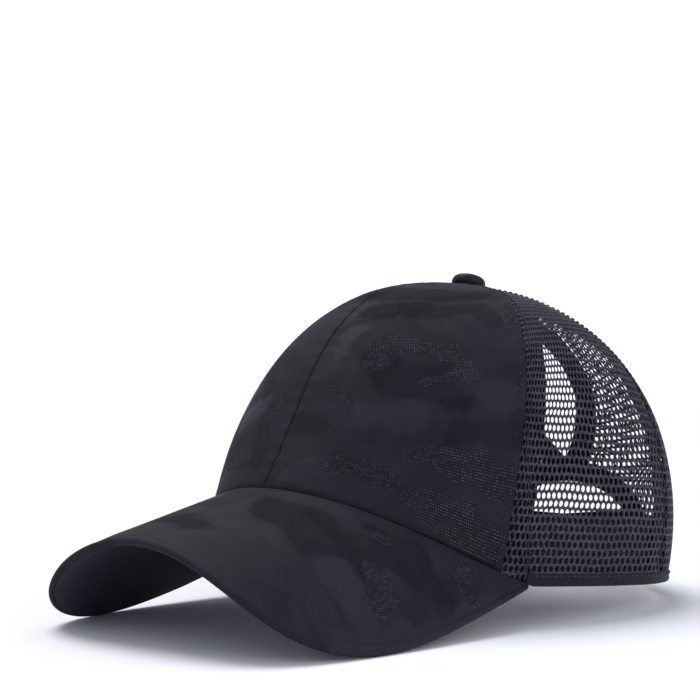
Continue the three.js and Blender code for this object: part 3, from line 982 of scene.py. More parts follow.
# %% Peak
edge_radius = peak_thickness / 2
peak_columns, peak_top_rows, edge_rows, lining_rows = 260, 56, 9, 24
furrow_place, furrow_width, furrow_depth = 3.0, 0.45, 0.42
roll_place, roll_width, roll_lift = 1.6, 0.9, 0.26
# The edge sags and stands out a little, so that the rounded peak still touches the floor. The sag
# fades out where the peak is short, or a slit would open at its two ends.
edge_sag, sag_width, edge_growth = 0.36, 12.0, 0.33
sag_from, sag_full = 14, 26


def peak_rings(shares):
    """Rows of points round the section: out along the top, round the edge and back below."""
    edge = peak_point(shares, np.ones_like(shares), np.zeros_like(shares))
    root = peak_point(shares, np.zeros_like(shares), np.zeros_like(shares))
    reach = np.linalg.norm(edge - root, axis=-1)
    inset = np.minimum(edge_radius / reach, 0.45)
    whole = 1 + edge_growth / reach

    def sag(outwards):
        near_edge = smooth(sag_width - (1 - outwards) * reach, 0, sag_width)
        return edge_sag * near_edge * smooth(reach, sag_from, sag_full)

    rows = [peak_seam_point(shares, np.zeros_like(shares))]
    for k in range(peak_top_rows + 1):
        outwards = (k / peak_top_rows) ** 0.9 * (1 - inset)
        to_edge = (1 - outwards) * reach
        relief = ridge(to_edge - furrow_place, furrow_depth, furrow_width)
        relief = relief - ridge(to_edge - roll_place, roll_lift, roll_width)
        rows.append(peak_point(shares, outwards * whole, relief * smooth(reach, 3, 9) + sag(outwards)))
    for k in range(1, edge_rows + 1):
        turn = math.pi * k / (edge_rows + 1)
        depth = edge_radius * (1 - math.cos(turn))
        outwards = 1 - inset + inset * math.sin(turn)
        rows.append(peak_point(shares, outwards * whole, depth + sag(outwards)))
    marks = [0] * len(rows)
    for k in range(lining_rows + 1):
        outwards = (1 - k / lining_rows) * (1 - inset)
        rows.append(peak_point(shares, outwards * whole, peak_thickness + sag(outwards)))
    rows.append(peak_seam_point(shares, np.full(shares.shape, peak_thickness)))
    marks += [1] * (lining_rows + 2)
    return np.stack(rows, 1), marks


def make_peak():
    shares = np.linspace(peak_end_trim, 1 - peak_end_trim, peak_columns)
    rings, marks = peak_rings(shares)
    steps, around = rings.shape[:2]
    quads, index = quads_of(steps, around, wrap_columns=True)
    ends = [list(range(around)), list(range((steps - 1) * around, steps * around))]
    faces = [list(face) for face in index] + ends
    points = rings.reshape(-1, 3)
    flat = points[:, :2] * np.array([1, -1])
    corners = np.concatenate([flat[index.ravel()], flat[:around], flat[-around:]])
    face_marks = [marks[c] for c in quads[:, 0, 1]] + [0, 0]
    plan = points[:, 0], -points[:, 1]
    fields = {"dotted": dotted_field(*plan, peak_strokes), "shade": blotch_and_painted_shade_field(*plan, peak_blotches_and_painted_shade)}
    piece = build_mesh("peak_board", points, faces, corners, [cloth, lining_cloth], face_marks, fields)
    finish_piece(piece, "front_cloth", "peak")


make_peak()

# %% [markdown]
# ## The net, made by Geometry Nodes
# The side and rear panels are knitted net: rows of upright oval holes, each row half a step aside
# of the next. A texture with transparency would be quick, but the holes show the far side of the
# cap and have real thread edges, so they are real. One cell is made once: a six-sided tile with an
# oval hole and a thread round it. The tree lays cells on a flat grid, joins them and then bends
# the flat net onto a guide, which is the panel with a map of its own. Beyond the panel's edge the
# guide is folded onto the edge, so that the last cells are gathered into the seam.

# %% One cell of a net
# A thread's section from the cell's border to its hole: (share of the way, share of the height).
# The side that faces into the cap is coarser, to save faces.
thread_section = [(0.0, 1.0), (0.62, 0.92), (1.0, 0.0)]
inside_section = [(0.0, 1.0), (1.0, 0.0)]


def net_cell(name, pitch, row, hole_wide, hole_high, thickness, around=12):
    """A six-sided tile with an oval hole, in millimetres, at the origin."""
    top, shoulder = row * 0.577, row * 0.423
    corners = [(pitch / 2, -shoulder), (pitch / 2, shoulder), (0, top), (-pitch / 2, shoulder),
               (-pitch / 2, -shoulder), (0, -top)]
    border = []
    for (x1, y1), (x2, y2) in zip(corners, corners[1:] + corners[:1]):
        for part in range(around // 6):
            share = part / (around // 6)
            border.append((x1 + (x2 - x1) * share, y1 + (y2 - y1) * share))
    verts, faces = [], []

    def ring(share, height):
        start = len(verts)
        for x, y in border:
            turn = math.atan2(y / hole_high, x / hole_wide)
            hx, hy = hole_wide * math.cos(turn), hole_high * math.sin(turn)
            verts.append((x + (hx - x) * share, y + (hy - y) * share, height))
        return start

    def join(a, b, flip):
        for k in range(around):
            n = (k + 1) % around
            quad = (a + k, a + n, b + n, b + k)
            faces.append(quad[::-1] if flip else quad)

    for sign, section in ((1, thread_section), (-1, inside_section)):
        starts = [ring(share, sign * thickness * level) for share, level in section]
        for a, b in zip(starts, starts[1:]):
            join(a, b, sign < 0)
    return cell_object(name, verts, faces)


def bead_cell(name, wide, high, lift, around=6):
    """A small loop of thread that stands proud of the cloth: a low oval dome."""
    verts = []
    for share, level in ((1.0, -0.35), (0.74, 0.7)):
        for k in range(around):
            turn = 2 * math.pi * k / around
            verts.append((wide * share * math.cos(turn), high * share * math.sin(turn), lift * level))
    verts.append((0.0, 0.0, lift))
    faces = []
    for k in range(around):
        n = (k + 1) % around
        faces.append((k, n, around + n, around + k))
        faces.append((around + k, around + n, 2 * around))
    return cell_object(name, verts, faces)


def cell_object(name, verts, faces):
    mesh = bpy.data.meshes.new(name)
    mesh.from_pydata(verts, [], faces)
    clean(mesh, merge=1e-4)
    print(name, "faces in one cell:", len(mesh.polygons))
    return bpy.data.objects.new(name, mesh)


# %% The tree that lays a net over a guide
guide_map = "guide"
map_reach = 400.0
# Joining distances: millimetres while the net is flat, metres once it is laid.
flat_merge, laid_merge = 0.03, 0.00002


def group_with(name, sockets):
    """A new tree with named inputs, and a dictionary of their outputs inside it."""
    group = bpy.data.node_groups.new(name, "GeometryNodeTree")
    group.interface.new_socket("Geometry", in_out="INPUT", socket_type="NodeSocketGeometry")
    for label, kind in sockets:
        group.interface.new_socket(label, in_out="INPUT", socket_type=kind)
    group.interface.new_socket("Geometry", in_out="OUTPUT", socket_type="NodeSocketGeometry")
    graph = Graph(group)
    entry = graph.node("NodeGroupInput")
    given = {socket.name: Term(graph, socket) for socket in entry.outputs if socket.name}
    return group, graph, given


def close_group(g, geometry, material):
    """Every tree ends alike: plain geometry, smooth shading, its material."""
    geometry = g.add("GeometryNodeRealizeInstances", {}, {"Geometry": geometry})
    geometry = g.add("GeometryNodeSetShadeSmooth", {}, {"Geometry": geometry})
    geometry = g.add("GeometryNodeSetMaterial", {}, {"Geometry": geometry, "Material": material})
    g.node("NodeGroupOutput", {}, {"Geometry": geometry})


def net_tree():
    group, g, given = group_with("lay_net", [
        ("Cell", "NodeSocketObject"), ("Pitch", "NodeSocketFloat"), ("Row", "NodeSocketFloat"),
        ("Columns", "NodeSocketInt"), ("Rows", "NodeSocketInt"),
        ("Material", "NodeSocketMaterial")])
    source = g.named(guide_map, "FLOAT_VECTOR")

    def vector_math(operation, first, second, key=1):
        return g.add("ShaderNodeVectorMath", {"operation": operation}, {0: first, key: second})

    def sample(name, kind="FLOAT", output=0):
        """A field of the guide at this point of the flat net. Output 1 says whether the guide reaches it."""
        spot = vector_math("MULTIPLY", g.add("GeometryNodeInputPosition"), (1 / map_reach, 1 / map_reach, 0))
        spot = vector_math("ADD", spot, (0.5, 0.5, 0))
        sockets = {"Mesh": given["Geometry"], "Value": g.named(name, kind)}
        sockets.update({"UV Map": source, "Sample UV": spot})
        return g.add("GeometryNodeSampleUVSurface", {"data_type": kind}, sockets, output)

    def drop(geometry, selection):
        sockets = {"Geometry": geometry, "Selection": selection}
        return g.add("GeometryNodeDeleteGeometry", {"domain": "POINT"}, sockets)

    def merge(geometry, distance):
        return g.add("GeometryNodeMergeByDistance", {}, {"Geometry": geometry, "Distance": distance})

    outside = g.add("FunctionNodeCompare", {"operation": "LESS_THAN"}, {"A": sample("keep"), "B": 0.0})
    lost = g.add("FunctionNodeBooleanMath", {"operation": "NOT"}, {0: sample("keep", output=1)})
    either = g.add("FunctionNodeBooleanMath", {"operation": "OR"}, {0: outside, 1: lost})
    wide = given["Pitch"] * (given["Columns"] - 1)
    high = given["Row"] * (given["Rows"] - 1)
    sockets = {"Size X": wide, "Size Y": high, "Vertices X": given["Columns"], "Vertices Y": given["Rows"]}
    points = g.add("GeometryNodeMeshGrid", {}, sockets)
    row_number = g.add("GeometryNodeInputIndex").math("FLOORED_MODULO", given["Rows"])
    aside = row_number.math("FLOORED_MODULO", 2.0) * given["Pitch"] * 0.5
    offset = g.add("ShaderNodeCombineXYZ", {}, {"X": aside, "Y": 0.0})
    points = g.add("GeometryNodeSetPosition", {}, {"Geometry": points, "Offset": offset})
    points = drop(points, either)
    cell = g.add("GeometryNodeObjectInfo", {}, {"Object": given["Cell"]}, 4)
    net = g.add("GeometryNodeInstanceOnPoints", {}, {"Points": points, "Instance": cell})
    net = g.add("GeometryNodeRealizeInstances", {}, {"Geometry": net})
    net = merge(net, flat_merge)
    height = g.add("ShaderNodeSeparateXYZ", {}, {"Vector": g.add("GeometryNodeInputPosition")}, 2)
    level = height * millimetre * sample("thick")
    up = vector_math("SCALE", sample("outward", "FLOAT_VECTOR"), level, "Scale")
    target = vector_math("ADD", sample("place", "FLOAT_VECTOR"), up)
    net = drop(net, lost)
    net = g.add("GeometryNodeSetPosition", {}, {"Geometry": net, "Position": target})
    close_group(g, merge(net, laid_merge), given["Material"])
    return group


def run_tree(name, source, group, inputs):
    """Runs a tree on a mesh object and returns the result as a plain mesh object."""
    modifier = source.modifiers.new("tree", "NODES")
    modifier.node_group = group
    sockets = {item.name: item.identifier for item in group.interface.items_tree if item.in_out == "INPUT"}
    for label, value in inputs.items():
        modifier[sockets[label]] = value
    bpy.context.view_layer.update()
    evaluated = source.evaluated_get(bpy.context.evaluated_depsgraph_get())
    mesh = bpy.data.meshes.new_from_object(evaluated)
    source.modifiers.remove(modifier)
    bpy.data.objects.remove(source)
    mesh.name = name
    return link(name, mesh)


lay_net = net_tree()
net_pitch, net_row = 2.35, 2.9
coarse_cell = net_cell("net_cell", net_pitch, net_row, hole_wide=0.82, hole_high=1.06, thickness=0.25)
fine_pitch, fine_row = 0.88, 0.8
fine_cell = bead_cell("patch_bead", wide=0.33, high=0.27, lift=0.22)


# %% A guide for a net
fold_reach = 5.0
thread_ramp = 0.8
no_opening = 50.0


def guide_object(name, place_at, outward, u, v, keep, thick):
    """The panel's grid with its map, its outward directions and the fields that the tree reads."""
    index = quads_of(*u.shape)[1]
    mesh = bpy.data.meshes.new(name)
    mesh.from_pydata(place_at.reshape(-1, 3).tolist(), [], index.tolist())
    layer = mesh.uv_layers.new(name=guide_map)
    flat = np.stack([u, v], -1).reshape(-1, 2) / map_reach + 0.5
    layer.data.foreach_set("uv", flat[index.ravel()].astype(np.float32).ravel())
    add_field(mesh, "keep", keep)
    add_field(mesh, "thick", thick)
    add_field(mesh, "place", place_at, "FLOAT_VECTOR")
    add_field(mesh, "outward", outward, "FLOAT_VECTOR")
    return link(name, mesh)


def folded(grid):
    """Repeats the border rows and columns of a grid, for the strips that fold onto the edge."""
    return np.pad(grid, ((1, 1), (1, 1)) + ((0, 0),) * (grid.ndim - 2), mode="edge")


def lay_over(name, grids, cell, pitch, row, material, spare=0.0, fade=None, swell=1.0):
    """Lays a net over a panel. The grids are its places, outward directions, map u and v, and the
    distance clear of an opening. Cells reach spare past an edge, and threads thin out over fade."""
    points, outward, u, v, clear = grids
    swell = folded(np.broadcast_to(swell, u.shape))
    u, v = folded(u), folded(v)
    u[:, 0] -= fold_reach
    u[:, -1] += fold_reach
    v[0] -= fold_reach
    v[-1] += fold_reach
    points, outward, clear = folded(points), folded(outward), folded(clear)
    low_u, high_u, low_v, high_v = u[:, 1:2], u[:, -2:-1], v[1:2], v[-2:-1]
    to_edge = np.minimum(np.minimum(u - low_u, high_u - u), np.minimum(v - low_v, high_v - v))
    middle_v = (v.max() + v.min()) / 2
    keep = np.minimum(to_edge + spare, clear)
    thick = np.clip(np.minimum(to_edge / thread_ramp, clear / fade if fade else 1.0), 0.0, 1.0) * swell
    source = guide_object(name + "_guide", points, outward, u, v - middle_v, keep, thick)
    inputs = {"Cell": cell, "Pitch": pitch, "Row": row, "Material": material}
    inputs["Columns"] = int(2 * np.abs(u).max() / pitch) + 6
    inputs["Rows"] = int((v.max() - v.min()) / row) + 4
    return run_tree(name, source, lay_net, inputs)


# %% [markdown]
# ## Openings at the back
# Two openings are cut in the rear: an almond for the ponytail and a half-moon over the strap. Both
# are drawn flat, as widths and heights along the cloth, and then laid on the crown, so they keep
# their size where the crown slopes.

# %% Outlines of the openings
closure_half, closure_height, closure_roundness = 40.6, 39.4, 0.45
pony_bottom, pony_height, pony_half = 50.1, 75.5, 18.2
pony_widest, pony_taper = 0.552, 1.7
binding_width = 10.0
leg_below_rim = 20

rear_t = np.linspace(0, 1, 301)
rear_line = crown_surface(math.pi, rear_t)
rear_along = lengths_along(rear_line, 0)


def height_along_rear(along):
    """The height of a place that lies so far up the cloth at the rear centre."""
    return np.where(along <= 0, along, np.interp(along, rear_along, rear_line[:, 2]))


def along_at_height(z):
    return np.interp(z, rear_line[:, 2], rear_along)


def rear_place(x, z, rounds=14):
    """The angle and t of the place on the crown's rear at x to the wearer's left and height z."""
    x, z = np.broadcast_arrays(np.asarray(x, float), np.asarray(z, float))
    t = np.full(x.shape, 0.2)
    angle = np.full(x.shape, math.pi)
    for _ in range(rounds):
        sine = x / (half_width * radius_share(angle, t))
        angle = math.pi - np.arcsin(np.clip(sine, -1, 1))
        miss = crown_surface(angle, t)[..., 2] - z
        t = t - miss / np.maximum(along_meridian(angle, t)[..., 2], 5)
    return angle, t


def closure_outline(turn, outset):
    """The half-moon from its left foot over its top to the right one."""
    x = (closure_half + outset) * np.cos(turn)
    rise = np.maximum(0, np.sin(turn)) ** (2 * closure_roundness)
    return np.stack([x, (closure_height + outset) * rise], -1)


def pony_half_width(share):
    below = pony_half * (1 - (np.maximum(pony_widest - share, 0) / pony_widest) ** pony_taper)
    rest = np.maximum(share - pony_widest, 0) / (1 - pony_widest)
    above = pony_half * np.sqrt(np.maximum(0, 1 - rest**2))
    return np.where(share < pony_widest, below, above)


def even_loop(points, count):
    """A closed outline divided again into even steps."""
    closed = np.concatenate([points, points[:1]])
    length = lengths_along(closed, 0)
    target = np.linspace(0, length[-1], count, endpoint=False)
    return np.stack([np.interp(target, length, closed[:, k]) for k in range(2)], -1)


def pony_outline(count=240, soften=9):
    """The almond as an even loop from its lower tip, and outward directions that turn softly there."""
    share = (1 - np.cos(np.linspace(0, math.pi, 200))) / 2
    left = np.stack([pony_half_width(share), pony_bottom + pony_height * share], -1)
    loop = even_loop(np.concatenate([left, (left * [-1, 1])[::-1][1:-1]]), count)
    ahead = np.roll(loop, -1, axis=0) - np.roll(loop, 1, axis=0)
    out = unit(np.stack([ahead[:, 1], -ahead[:, 0]], -1))
    window = np.ones(soften) / soften
    for k in range(2):
        longer = np.concatenate([out[-soften:, k], out[:, k], out[:soften, k]])
        out[:, k] = np.convolve(longer, window, "same")[soften:-soften]
    return loop, unit(out)


def outside_of(loop, x, along):
    """Signed distance from a closed outline, positive outside."""
    shape = x.shape
    px, py = x.ravel()[:, None], along.ravel()[:, None]
    distance = np.sqrt(((px - loop[:, 0]) ** 2 + (py - loop[:, 1]) ** 2).min(axis=1))
    ax, ay = loop[:, 0], loop[:, 1]
    bx, by = np.roll(ax, -1), np.roll(ay, -1)
    crosses = (ay > py) != (by > py)
    at = ax + (py - ay) * (bx - ax) / np.where(by == ay, 1e-9, by - ay)
    inside = (crosses & (px < at)).sum(axis=1) % 2 == 1
    return np.where(inside, -distance, distance).reshape(shape)


half_moon = closure_outline(np.linspace(0, math.pi, 160), 0.0)
feet = [[-closure_half, -leg_below_rim], [closure_half, -leg_below_rim]]
half_moon = np.concatenate([half_moon, feet])
half_moon = even_loop(half_moon, 320)
almond, almond_out = pony_outline()
print("half-moon width", 2 * closure_half, "mm; almond", 2 * pony_half, "by", pony_height, "mm")


# %% Net panels
net_depth = 0.6
net_rows, net_grid_columns = 90, 70
seam_gather, gather_depth, gather_width = 0.05, 0.5, 0.9
under_binding = 5.0
tucked_under_hem, tucked_under_peak = 1.2, 0.7
past_edge = 0.9


def net_bottom(angle):
    return t_at_height(angle, np.maximum(hem_top_height(angle) - tucked_under_hem, -tucked_under_peak))


def net_height(points, t):
    """The map's height: level with the rim low down, as the rows run there, and along the panel above."""
    line = points[:, points.shape[1] // 2]
    climb = lengths_along(line, 0)
    crest_row = int(np.argmax(line[:, 2]))
    level = np.interp(points[..., 2], line[:crest_row, 2], climb[:crest_row])
    rank = np.interp(t, t[:, t.shape[1] // 2], climb)
    share = smooth(t, 0.15, 0.55)
    return level * (1 - share) + rank * share


# The net is pulled wide towards the back and over its lower part, so its holes narrow towards
# the front seam and the crown's top. The number of columns stays nearly the same at every height.
# A ratio is that of the widest column in a row to the narrowest. more_ is added 60 mm further up.
rim_columns, more_columns = {"side": 30.0, "rear": 27.0}, {"side": 4.0, "rear": 0.0}
rim_ratio, more_ratio = {"side": 1.8, "rear": 1.0001}, {"side": 0.5, "rear": 0.1}
least_pitch = 1.35
upper_stretch, stretch_from = 0.1, 30
# Beside the rear seam the net is bunched: its threads stand higher and hide the holes from the side.
more_thread, bunched_to, plain_from = 1.7, 9, 18


def net_columns(kind, share, width, v):
    """The map's place along a row, in millimetres of an unstretched net."""
    rise = np.clip(v / 60, 0, 1.5)
    most = width / least_pitch
    wanted = rim_columns[kind] + more_columns[kind] * rise
    columns = (wanted**-6 + most**-6) ** (-1 / 6)
    ratio = rim_ratio[kind] + more_ratio[kind] * rise
    return net_pitch * columns * (np.log(1 + (ratio - 1) * share) / np.log(ratio) - 0.5)


def net_wave(u, v):
    """A knitted net is never quite even: its rows and columns wander by a fraction of a hole."""
    wave = 0.16 * np.sin(v / 6.1 + 1.3 * np.sin(u / 17)) + 0.1 * np.sin(v / 2.9 + u / 8.3)
    drift = 0.14 * np.sin(u / 5.3 + 1.1 * np.sin(v / 13)) + 0.08 * np.sin(u / 2.7 - v / 9.1)
    return wave, drift


def on_side(side, points, outward, u, *others):
    """The left panel's grids for either side, in the frame. The right ones run the other way round."""
    grids = (place(mirrored(points, side)), tipped(mirrored(outward, side)), u * side, *others)
    return [grid[:, ::side] for grid in grids]


def net_panel(kind, side, label):
    first, last = {"side": ("front", "rear"), "rear": ("rear", "rear_centre")}[kind]
    start, end = beside(first, seam_gather), beside(last, -seam_gather)
    angle, t = crown_patch(start, end, net_bottom, panel_top, net_rows, net_grid_columns)
    turn_length = np.linalg.norm(along_rim(angle, t), axis=-1)
    from_first = (angle - angle[:, :1]) * turn_length
    from_last = (angle[:, -1:] - angle) * turn_length
    centre = np.full(angle.shape, net_depth)
    for distance in (from_first, from_last):
        centre = centre + ridge(distance, gather_depth, gather_width)
    points = crown_point(angle, t, centre)
    outward = crown_normal(angle, t)
    around = lengths_along(points, 1)
    width = around[:, -1:]
    v = net_height(points, t)
    u = net_columns(kind, around / width, width, v)
    v = v - upper_stretch * np.maximum(0, v - stretch_from)
    clear, swell = np.full(u.shape, no_opening), np.ones(u.shape)
    if kind == "rear":
        swell += more_thread * (1 - smooth(from_first, bunched_to, plain_from))
        surface = crown_surface(angle, t)
        x, along = surface[..., 0], along_at_height(surface[..., 2])
        clear = np.minimum(outside_of(half_moon, x, along), outside_of(almond, x, along)) - under_binding
    wave, drift = net_wave(u, v)
    grids = on_side(side, points, outward, u + wave, v + drift, clear, swell)
    piece = lay_over(f"{kind}_net_{label}", grids[:5], coarse_cell, net_pitch, net_row, net_thread,
                     spare=past_edge, swell=grids[5])
    finish_piece(piece, "net", f"{kind}_mesh_{label}")


for side, label in sides:
    net_panel("side", side, label)
    net_panel("rear", side, label)

# %% [markdown]
# ## Threads over the dotted patches
# In the dotted patches the cloth is woven open, so small raised threads stand over a dark ground
# and catch the light. The same tree lays them, with a smaller cell that has only its upper side,
# because it lies on the cloth. Towards the edge of a patch the threads sink into the cloth.

# %% Raised threads
patch_fade = 1.2
patch_sink = 0.12
peak_patch_rows, peak_patch_half_columns = 60, 100


def lay_threads(label, grids):
    piece = lay_over(f"dotted_patches_{label}", grids, fine_cell, fine_pitch, fine_row, patch_thread,
                     fade=patch_fade)
    finish_piece(piece, "front_cloth")


def front_patches(side, label):
    angle, t, u, v = front_grid()
    relief = front_relief(u, u[:, -1:] - u, v, v[-1:] - v)
    points = crown_point(angle, t, relief + patch_sink)
    clear = dotted_field(side * u, v, front_strokes)
    lay_threads(label, on_side(side, points, crown_normal(angle, t), u, v, clear))


def peak_patches():
    columns = 2 * peak_patch_half_columns
    lines = np.linspace(1, 0.03, peak_patch_rows), np.linspace(0.04, 0.96, columns)
    outwards, share = np.meshgrid(*lines, indexing="ij")
    points = peak_point(share, outwards * 0.94, np.full(share.shape, patch_sink))
    middle = slice(peak_patch_half_columns, peak_patch_half_columns + 1)
    u = lengths_along(points, 1)
    u = u - u[:, middle]
    v = np.broadcast_to(lengths_along(points[:, middle], 0), u.shape)
    x, y = points[..., 0], points[..., 1]
    outward = tipped(peak_normal(x, y))
    lay_threads("peak", (place(points), outward, u, v, dotted_field(x, -y, peak_strokes)))


for side, label in sides:
    front_patches(side, label)
peak_patches()


# %% [markdown]
# ## Stitches, made by Geometry Nodes
# A row of stitches is a line on the cloth, cut into even steps, with one short thread at each
# step. The tree turns the line into a curve, steps along it and sets each thread along the line
# with its back away from the cloth. The line carries that direction as an attribute.

# %% Stitch tree
def stitch_object(name, length, thickness):
    """One stitch along x: a short thread whose ends dip into the cloth. Its sizes are millimetres."""
    verts, faces = [], []
    stations, around = 5, 6
    for k in range(stations):
        share = k / (stations - 1) * 2 - 1
        swell = math.sqrt(max(0.0, 1 - share**4)) * thickness / 2 + 0.02
        for n in range(around):
            turn = 2 * math.pi * n / around
            dip = -0.6 * thickness * share**4
            verts.append((share * length / 2, swell * math.cos(turn), swell * math.sin(turn) + dip))
    for k in range(stations - 1):
        for n in range(around):
            m = (n + 1) % around
            faces.append((k * around + n, k * around + m, (k + 1) * around + m, (k + 1) * around + n))
    faces.append(tuple(range(around))[::-1])
    faces.append(tuple(range((stations - 1) * around, stations * around)))
    mesh = bpy.data.meshes.new(name)
    mesh.from_pydata([tuple(c * millimetre for c in v) for v in verts], [], faces)
    clean(mesh, turn_out=True)
    print(name, "faces:", len(mesh.polygons))
    return bpy.data.objects.new(name, mesh)


def stitch_tree():
    group, g, given = group_with("sew_row", [
        ("Stitch", "NodeSocketObject"), ("Spacing", "NodeSocketFloat"), ("Material", "NodeSocketMaterial")])
    curve = g.add("GeometryNodeMeshToCurve", {}, {"Mesh": given["Geometry"]})
    steps = {"Curve": curve, "Length": given["Spacing"]}
    curve = g.add("GeometryNodeResampleCurve", {"mode": "LENGTH"}, steps)
    axes = {"Primary Axis": g.add("GeometryNodeInputTangent")}
    axes["Secondary Axis"] = g.named("outward", "FLOAT_VECTOR")
    turn = g.add("FunctionNodeAxesToRotation", {"primary_axis": "X", "secondary_axis": "Z"}, axes)
    thread = g.add("GeometryNodeObjectInfo", {}, {"Object": given["Stitch"]}, 4)
    row = g.add("GeometryNodeInstanceOnPoints", {}, {"Points": curve, "Instance": thread, "Rotation": turn})
    close_group(g, row, given["Material"])
    return group


sew_row = stitch_tree()
short_stitch = stitch_object("short_stitch", length=1.9, thickness=0.42)
dash_stitch = stitch_object("dash_stitch", length=3.2, thickness=0.6)


def sew(name, lines, stitch, spacing, material, slot):
    """lines: a list of (points, outward directions), in level-cap millimetres."""
    verts, outs, edges = [], [], []
    for points, outward in lines:
        start = len(verts)
        verts += place(points).tolist()
        outs.append(tipped(outward))
        edges += [(start + k, start + k + 1) for k in range(len(points) - 1)]
    mesh = bpy.data.meshes.new(name + "_line")
    mesh.from_pydata(verts, edges, [])
    add_field(mesh, "outward", np.concatenate(outs), "FLOAT_VECTOR")
    line = link(name + "_line", mesh)
    inputs = {"Stitch": stitch, "Spacing": spacing * millimetre, "Material": material}
    finish_piece(run_tree(name, line, sew_row, inputs), slot)


def crown_line(angle, t, depth, side=1):
    """A line on the crown's outside or, with a positive depth, on a layer under it."""
    points = crown_point(angle, t, np.full(np.shape(angle), depth))
    return mirrored(points, side), mirrored(crown_normal(angle, t), side)


def climbing_line(seam, distance, depth, side, count=120):
    """A line beside a seam, from just over the hem to just under the button."""
    line = beside(seam, distance)
    t = np.linspace(0, 1, count)
    angle = line(t)
    low, high = panel_bottom(angle[:1])[0], panel_top(angle[-1:])[0]
    t = np.linspace(low + 0.01, high - 0.03, count)
    return crown_line(line(t), t, depth, side)


# %% Rows on the front panels
fold_stitch_place, on_fold = 3.0, -0.36
rows = [climbing_line("front", -fold_stitch_place, on_fold, side) for side, label in sides]
sew("front_panel_stitches", rows, short_stitch, 2.6, black_thread, "front_cloth")

# %% [markdown]
# ## Tapes behind the seams
# Every seam of the crown is covered inside by a smooth tape, sewn down along both its edges. From
# outside it shows through the net as a solid dark band, so it is a real piece behind the net.

# %% Seam tapes
tape_width, tape_taper = 12.0, 0.25
tape_outer, tape_inner, tape_top_radius = 2.05, 3.0, 6.5
tape_edge_thinner, tape_stitch_dent = 0.25, 0.12
tape_columns = 17
seam_gap = 0.3


def tape_half(seam, t):
    """Half the tape's width, which narrows near the button."""
    p = crown_surface(seam_angle(seam, t), t)
    return np.minimum(tape_width / 2, tape_taper * np.hypot(p[..., 0], p[..., 1] - button_back))


def seam_tape(name, seam, side, bottom, nodes, rows=110, moved=0.0, broad=1.0, material=tape_cloth):
    """A tape along a seam. moved shifts it backwards, by a share of its half width."""
    def edge(sign):
        def line(t):
            angle = seam_angle(seam, t)
            reach = (moved + sign * broad) * tape_half(seam, t)
            return angle + reach / np.linalg.norm(along_rim(angle, t), axis=-1)
        return line

    def top(angle):
        return t_at_radius(angle, tape_top_radius)

    angle, t = crown_patch(edge(-1), edge(1), bottom, top, rows, tape_columns)
    across = np.linspace(-1, 1, tape_columns)
    crown = tape_edge_thinner * (1 - across**6) - ridge(np.abs(across) - 0.78, tape_stitch_dent, 0.07)
    outer = crown_point(angle, t, tape_outer + tape_edge_thinner - crown)
    inner = crown_point(angle, t, tape_inner - tape_edge_thinner + crown)
    u = lengths_along(outer, 1)
    v = np.broadcast_to(lengths_along(outer[:, :1], 0), u.shape)
    piece = wall(name, mirrored(outer, side), mirrored(inner, side), np.stack([v, u], -1), [material])
    finish_piece(piece, "tape", *nodes)


def tape_bottom(angle):
    return t_at_height(angle, hem_height + 2 * seam_gap)


seam_tapes = {
    "front": {"moved": 0.57, "broad": 1.0, "material": tape_cloth},
    # The rear tapes use the lighter cloth, whose tone is painted sheen.
    "rear": {"moved": 0.25, "broad": 1.25, "material": back_seam_tape_painted_sheen},
}
for side, label in sides:
    for seam, settings in seam_tapes.items():
        name = f"{seam}_seam_tape_{label}"
        seam_tape(name + "_cloth", seam, side, tape_bottom, [name], **settings)
seam_tape("front_centre_tape", "front_centre", 1, tape_bottom, [])


def above_almond(angle):
    top = rear_place(np.zeros(1), height_along_rear(pony_bottom + pony_height + 2.0))[1][0]
    return np.full(np.shape(angle), top)


seam_tape("rear_centre_tape", "rear_centre", 1, above_almond, [], rows=30)

# %% Stitches beside the net seams
rows = []
for side, label in sides:
    rows += [climbing_line("rear", distance, -0.12, side) for distance in (-1.6, 1.6)]
    rows.append(climbing_line("front", 1.8, 0.1, side))
sew("net_seam_stitches", rows, short_stitch, 2.4, black_thread, "tape")

# %% [markdown]
# ## Bindings of the openings
# A tape 10 mm wide is folded over the raw edge of each opening and sewn through. Its section is a
# flat loop with a rounded fold at the opening, swept along the outline. Where the almond's tip
# meets the half-moon, the almond's tape goes under the other one.

# %% Bindings
# Places round the folded tape, as (distance from the opening, depth): its outside and its inside.
binding_section = [
    (0.12, 0.05), (0.45, -0.4), (1.1, -0.56), (1.75, -0.42), (2.4, -0.58), (5.0, -0.6),
    (7.6, -0.58), (8.3, -0.42), (9.0, -0.56), (9.75, -0.3), (10.0, 0.2),
    (10.0, 1.1), (9.7, 1.6), (8.9, 1.84), (5.0, 1.9), (1.2, 1.86), (0.5, 1.7), (0.12, 1.3), (0.0, 0.7),
]
tuck_depth, tuck_share = 0.65, 0.75


def on_rear(flat, depth):
    """Places on the crown's rear for places along the cloth, and their outward directions."""
    angle, t = rear_place(flat[..., 0], height_along_rear(flat[..., 1]))
    return crown_point(angle, t, depth), crown_normal(angle, t)


def binding_rings(flat_at, tuck):
    """The section along an outline. Where tuck is 1 the tape is thin and lies under another one."""
    rings = []
    for outset, depth in binding_section:
        flat = flat_at(outset)
        depth_here = depth + tuck(flat) * (tuck_depth - depth) * tuck_share
        rings.append(on_rear(flat, depth_here)[0])
    return np.stack(rings, 1)


closure_turns = np.linspace(0, math.pi, 400)[1:-1]
run = lengths_along(closure_outline(closure_turns, binding_width / 2), 0)
closure_turns = np.interp(np.linspace(0, 1, 240), run / run[-1], closure_turns)


def closure_flat(outset):
    return closure_outline(closure_turns, outset)


def pony_flat(outset):
    return almond + almond_out * outset


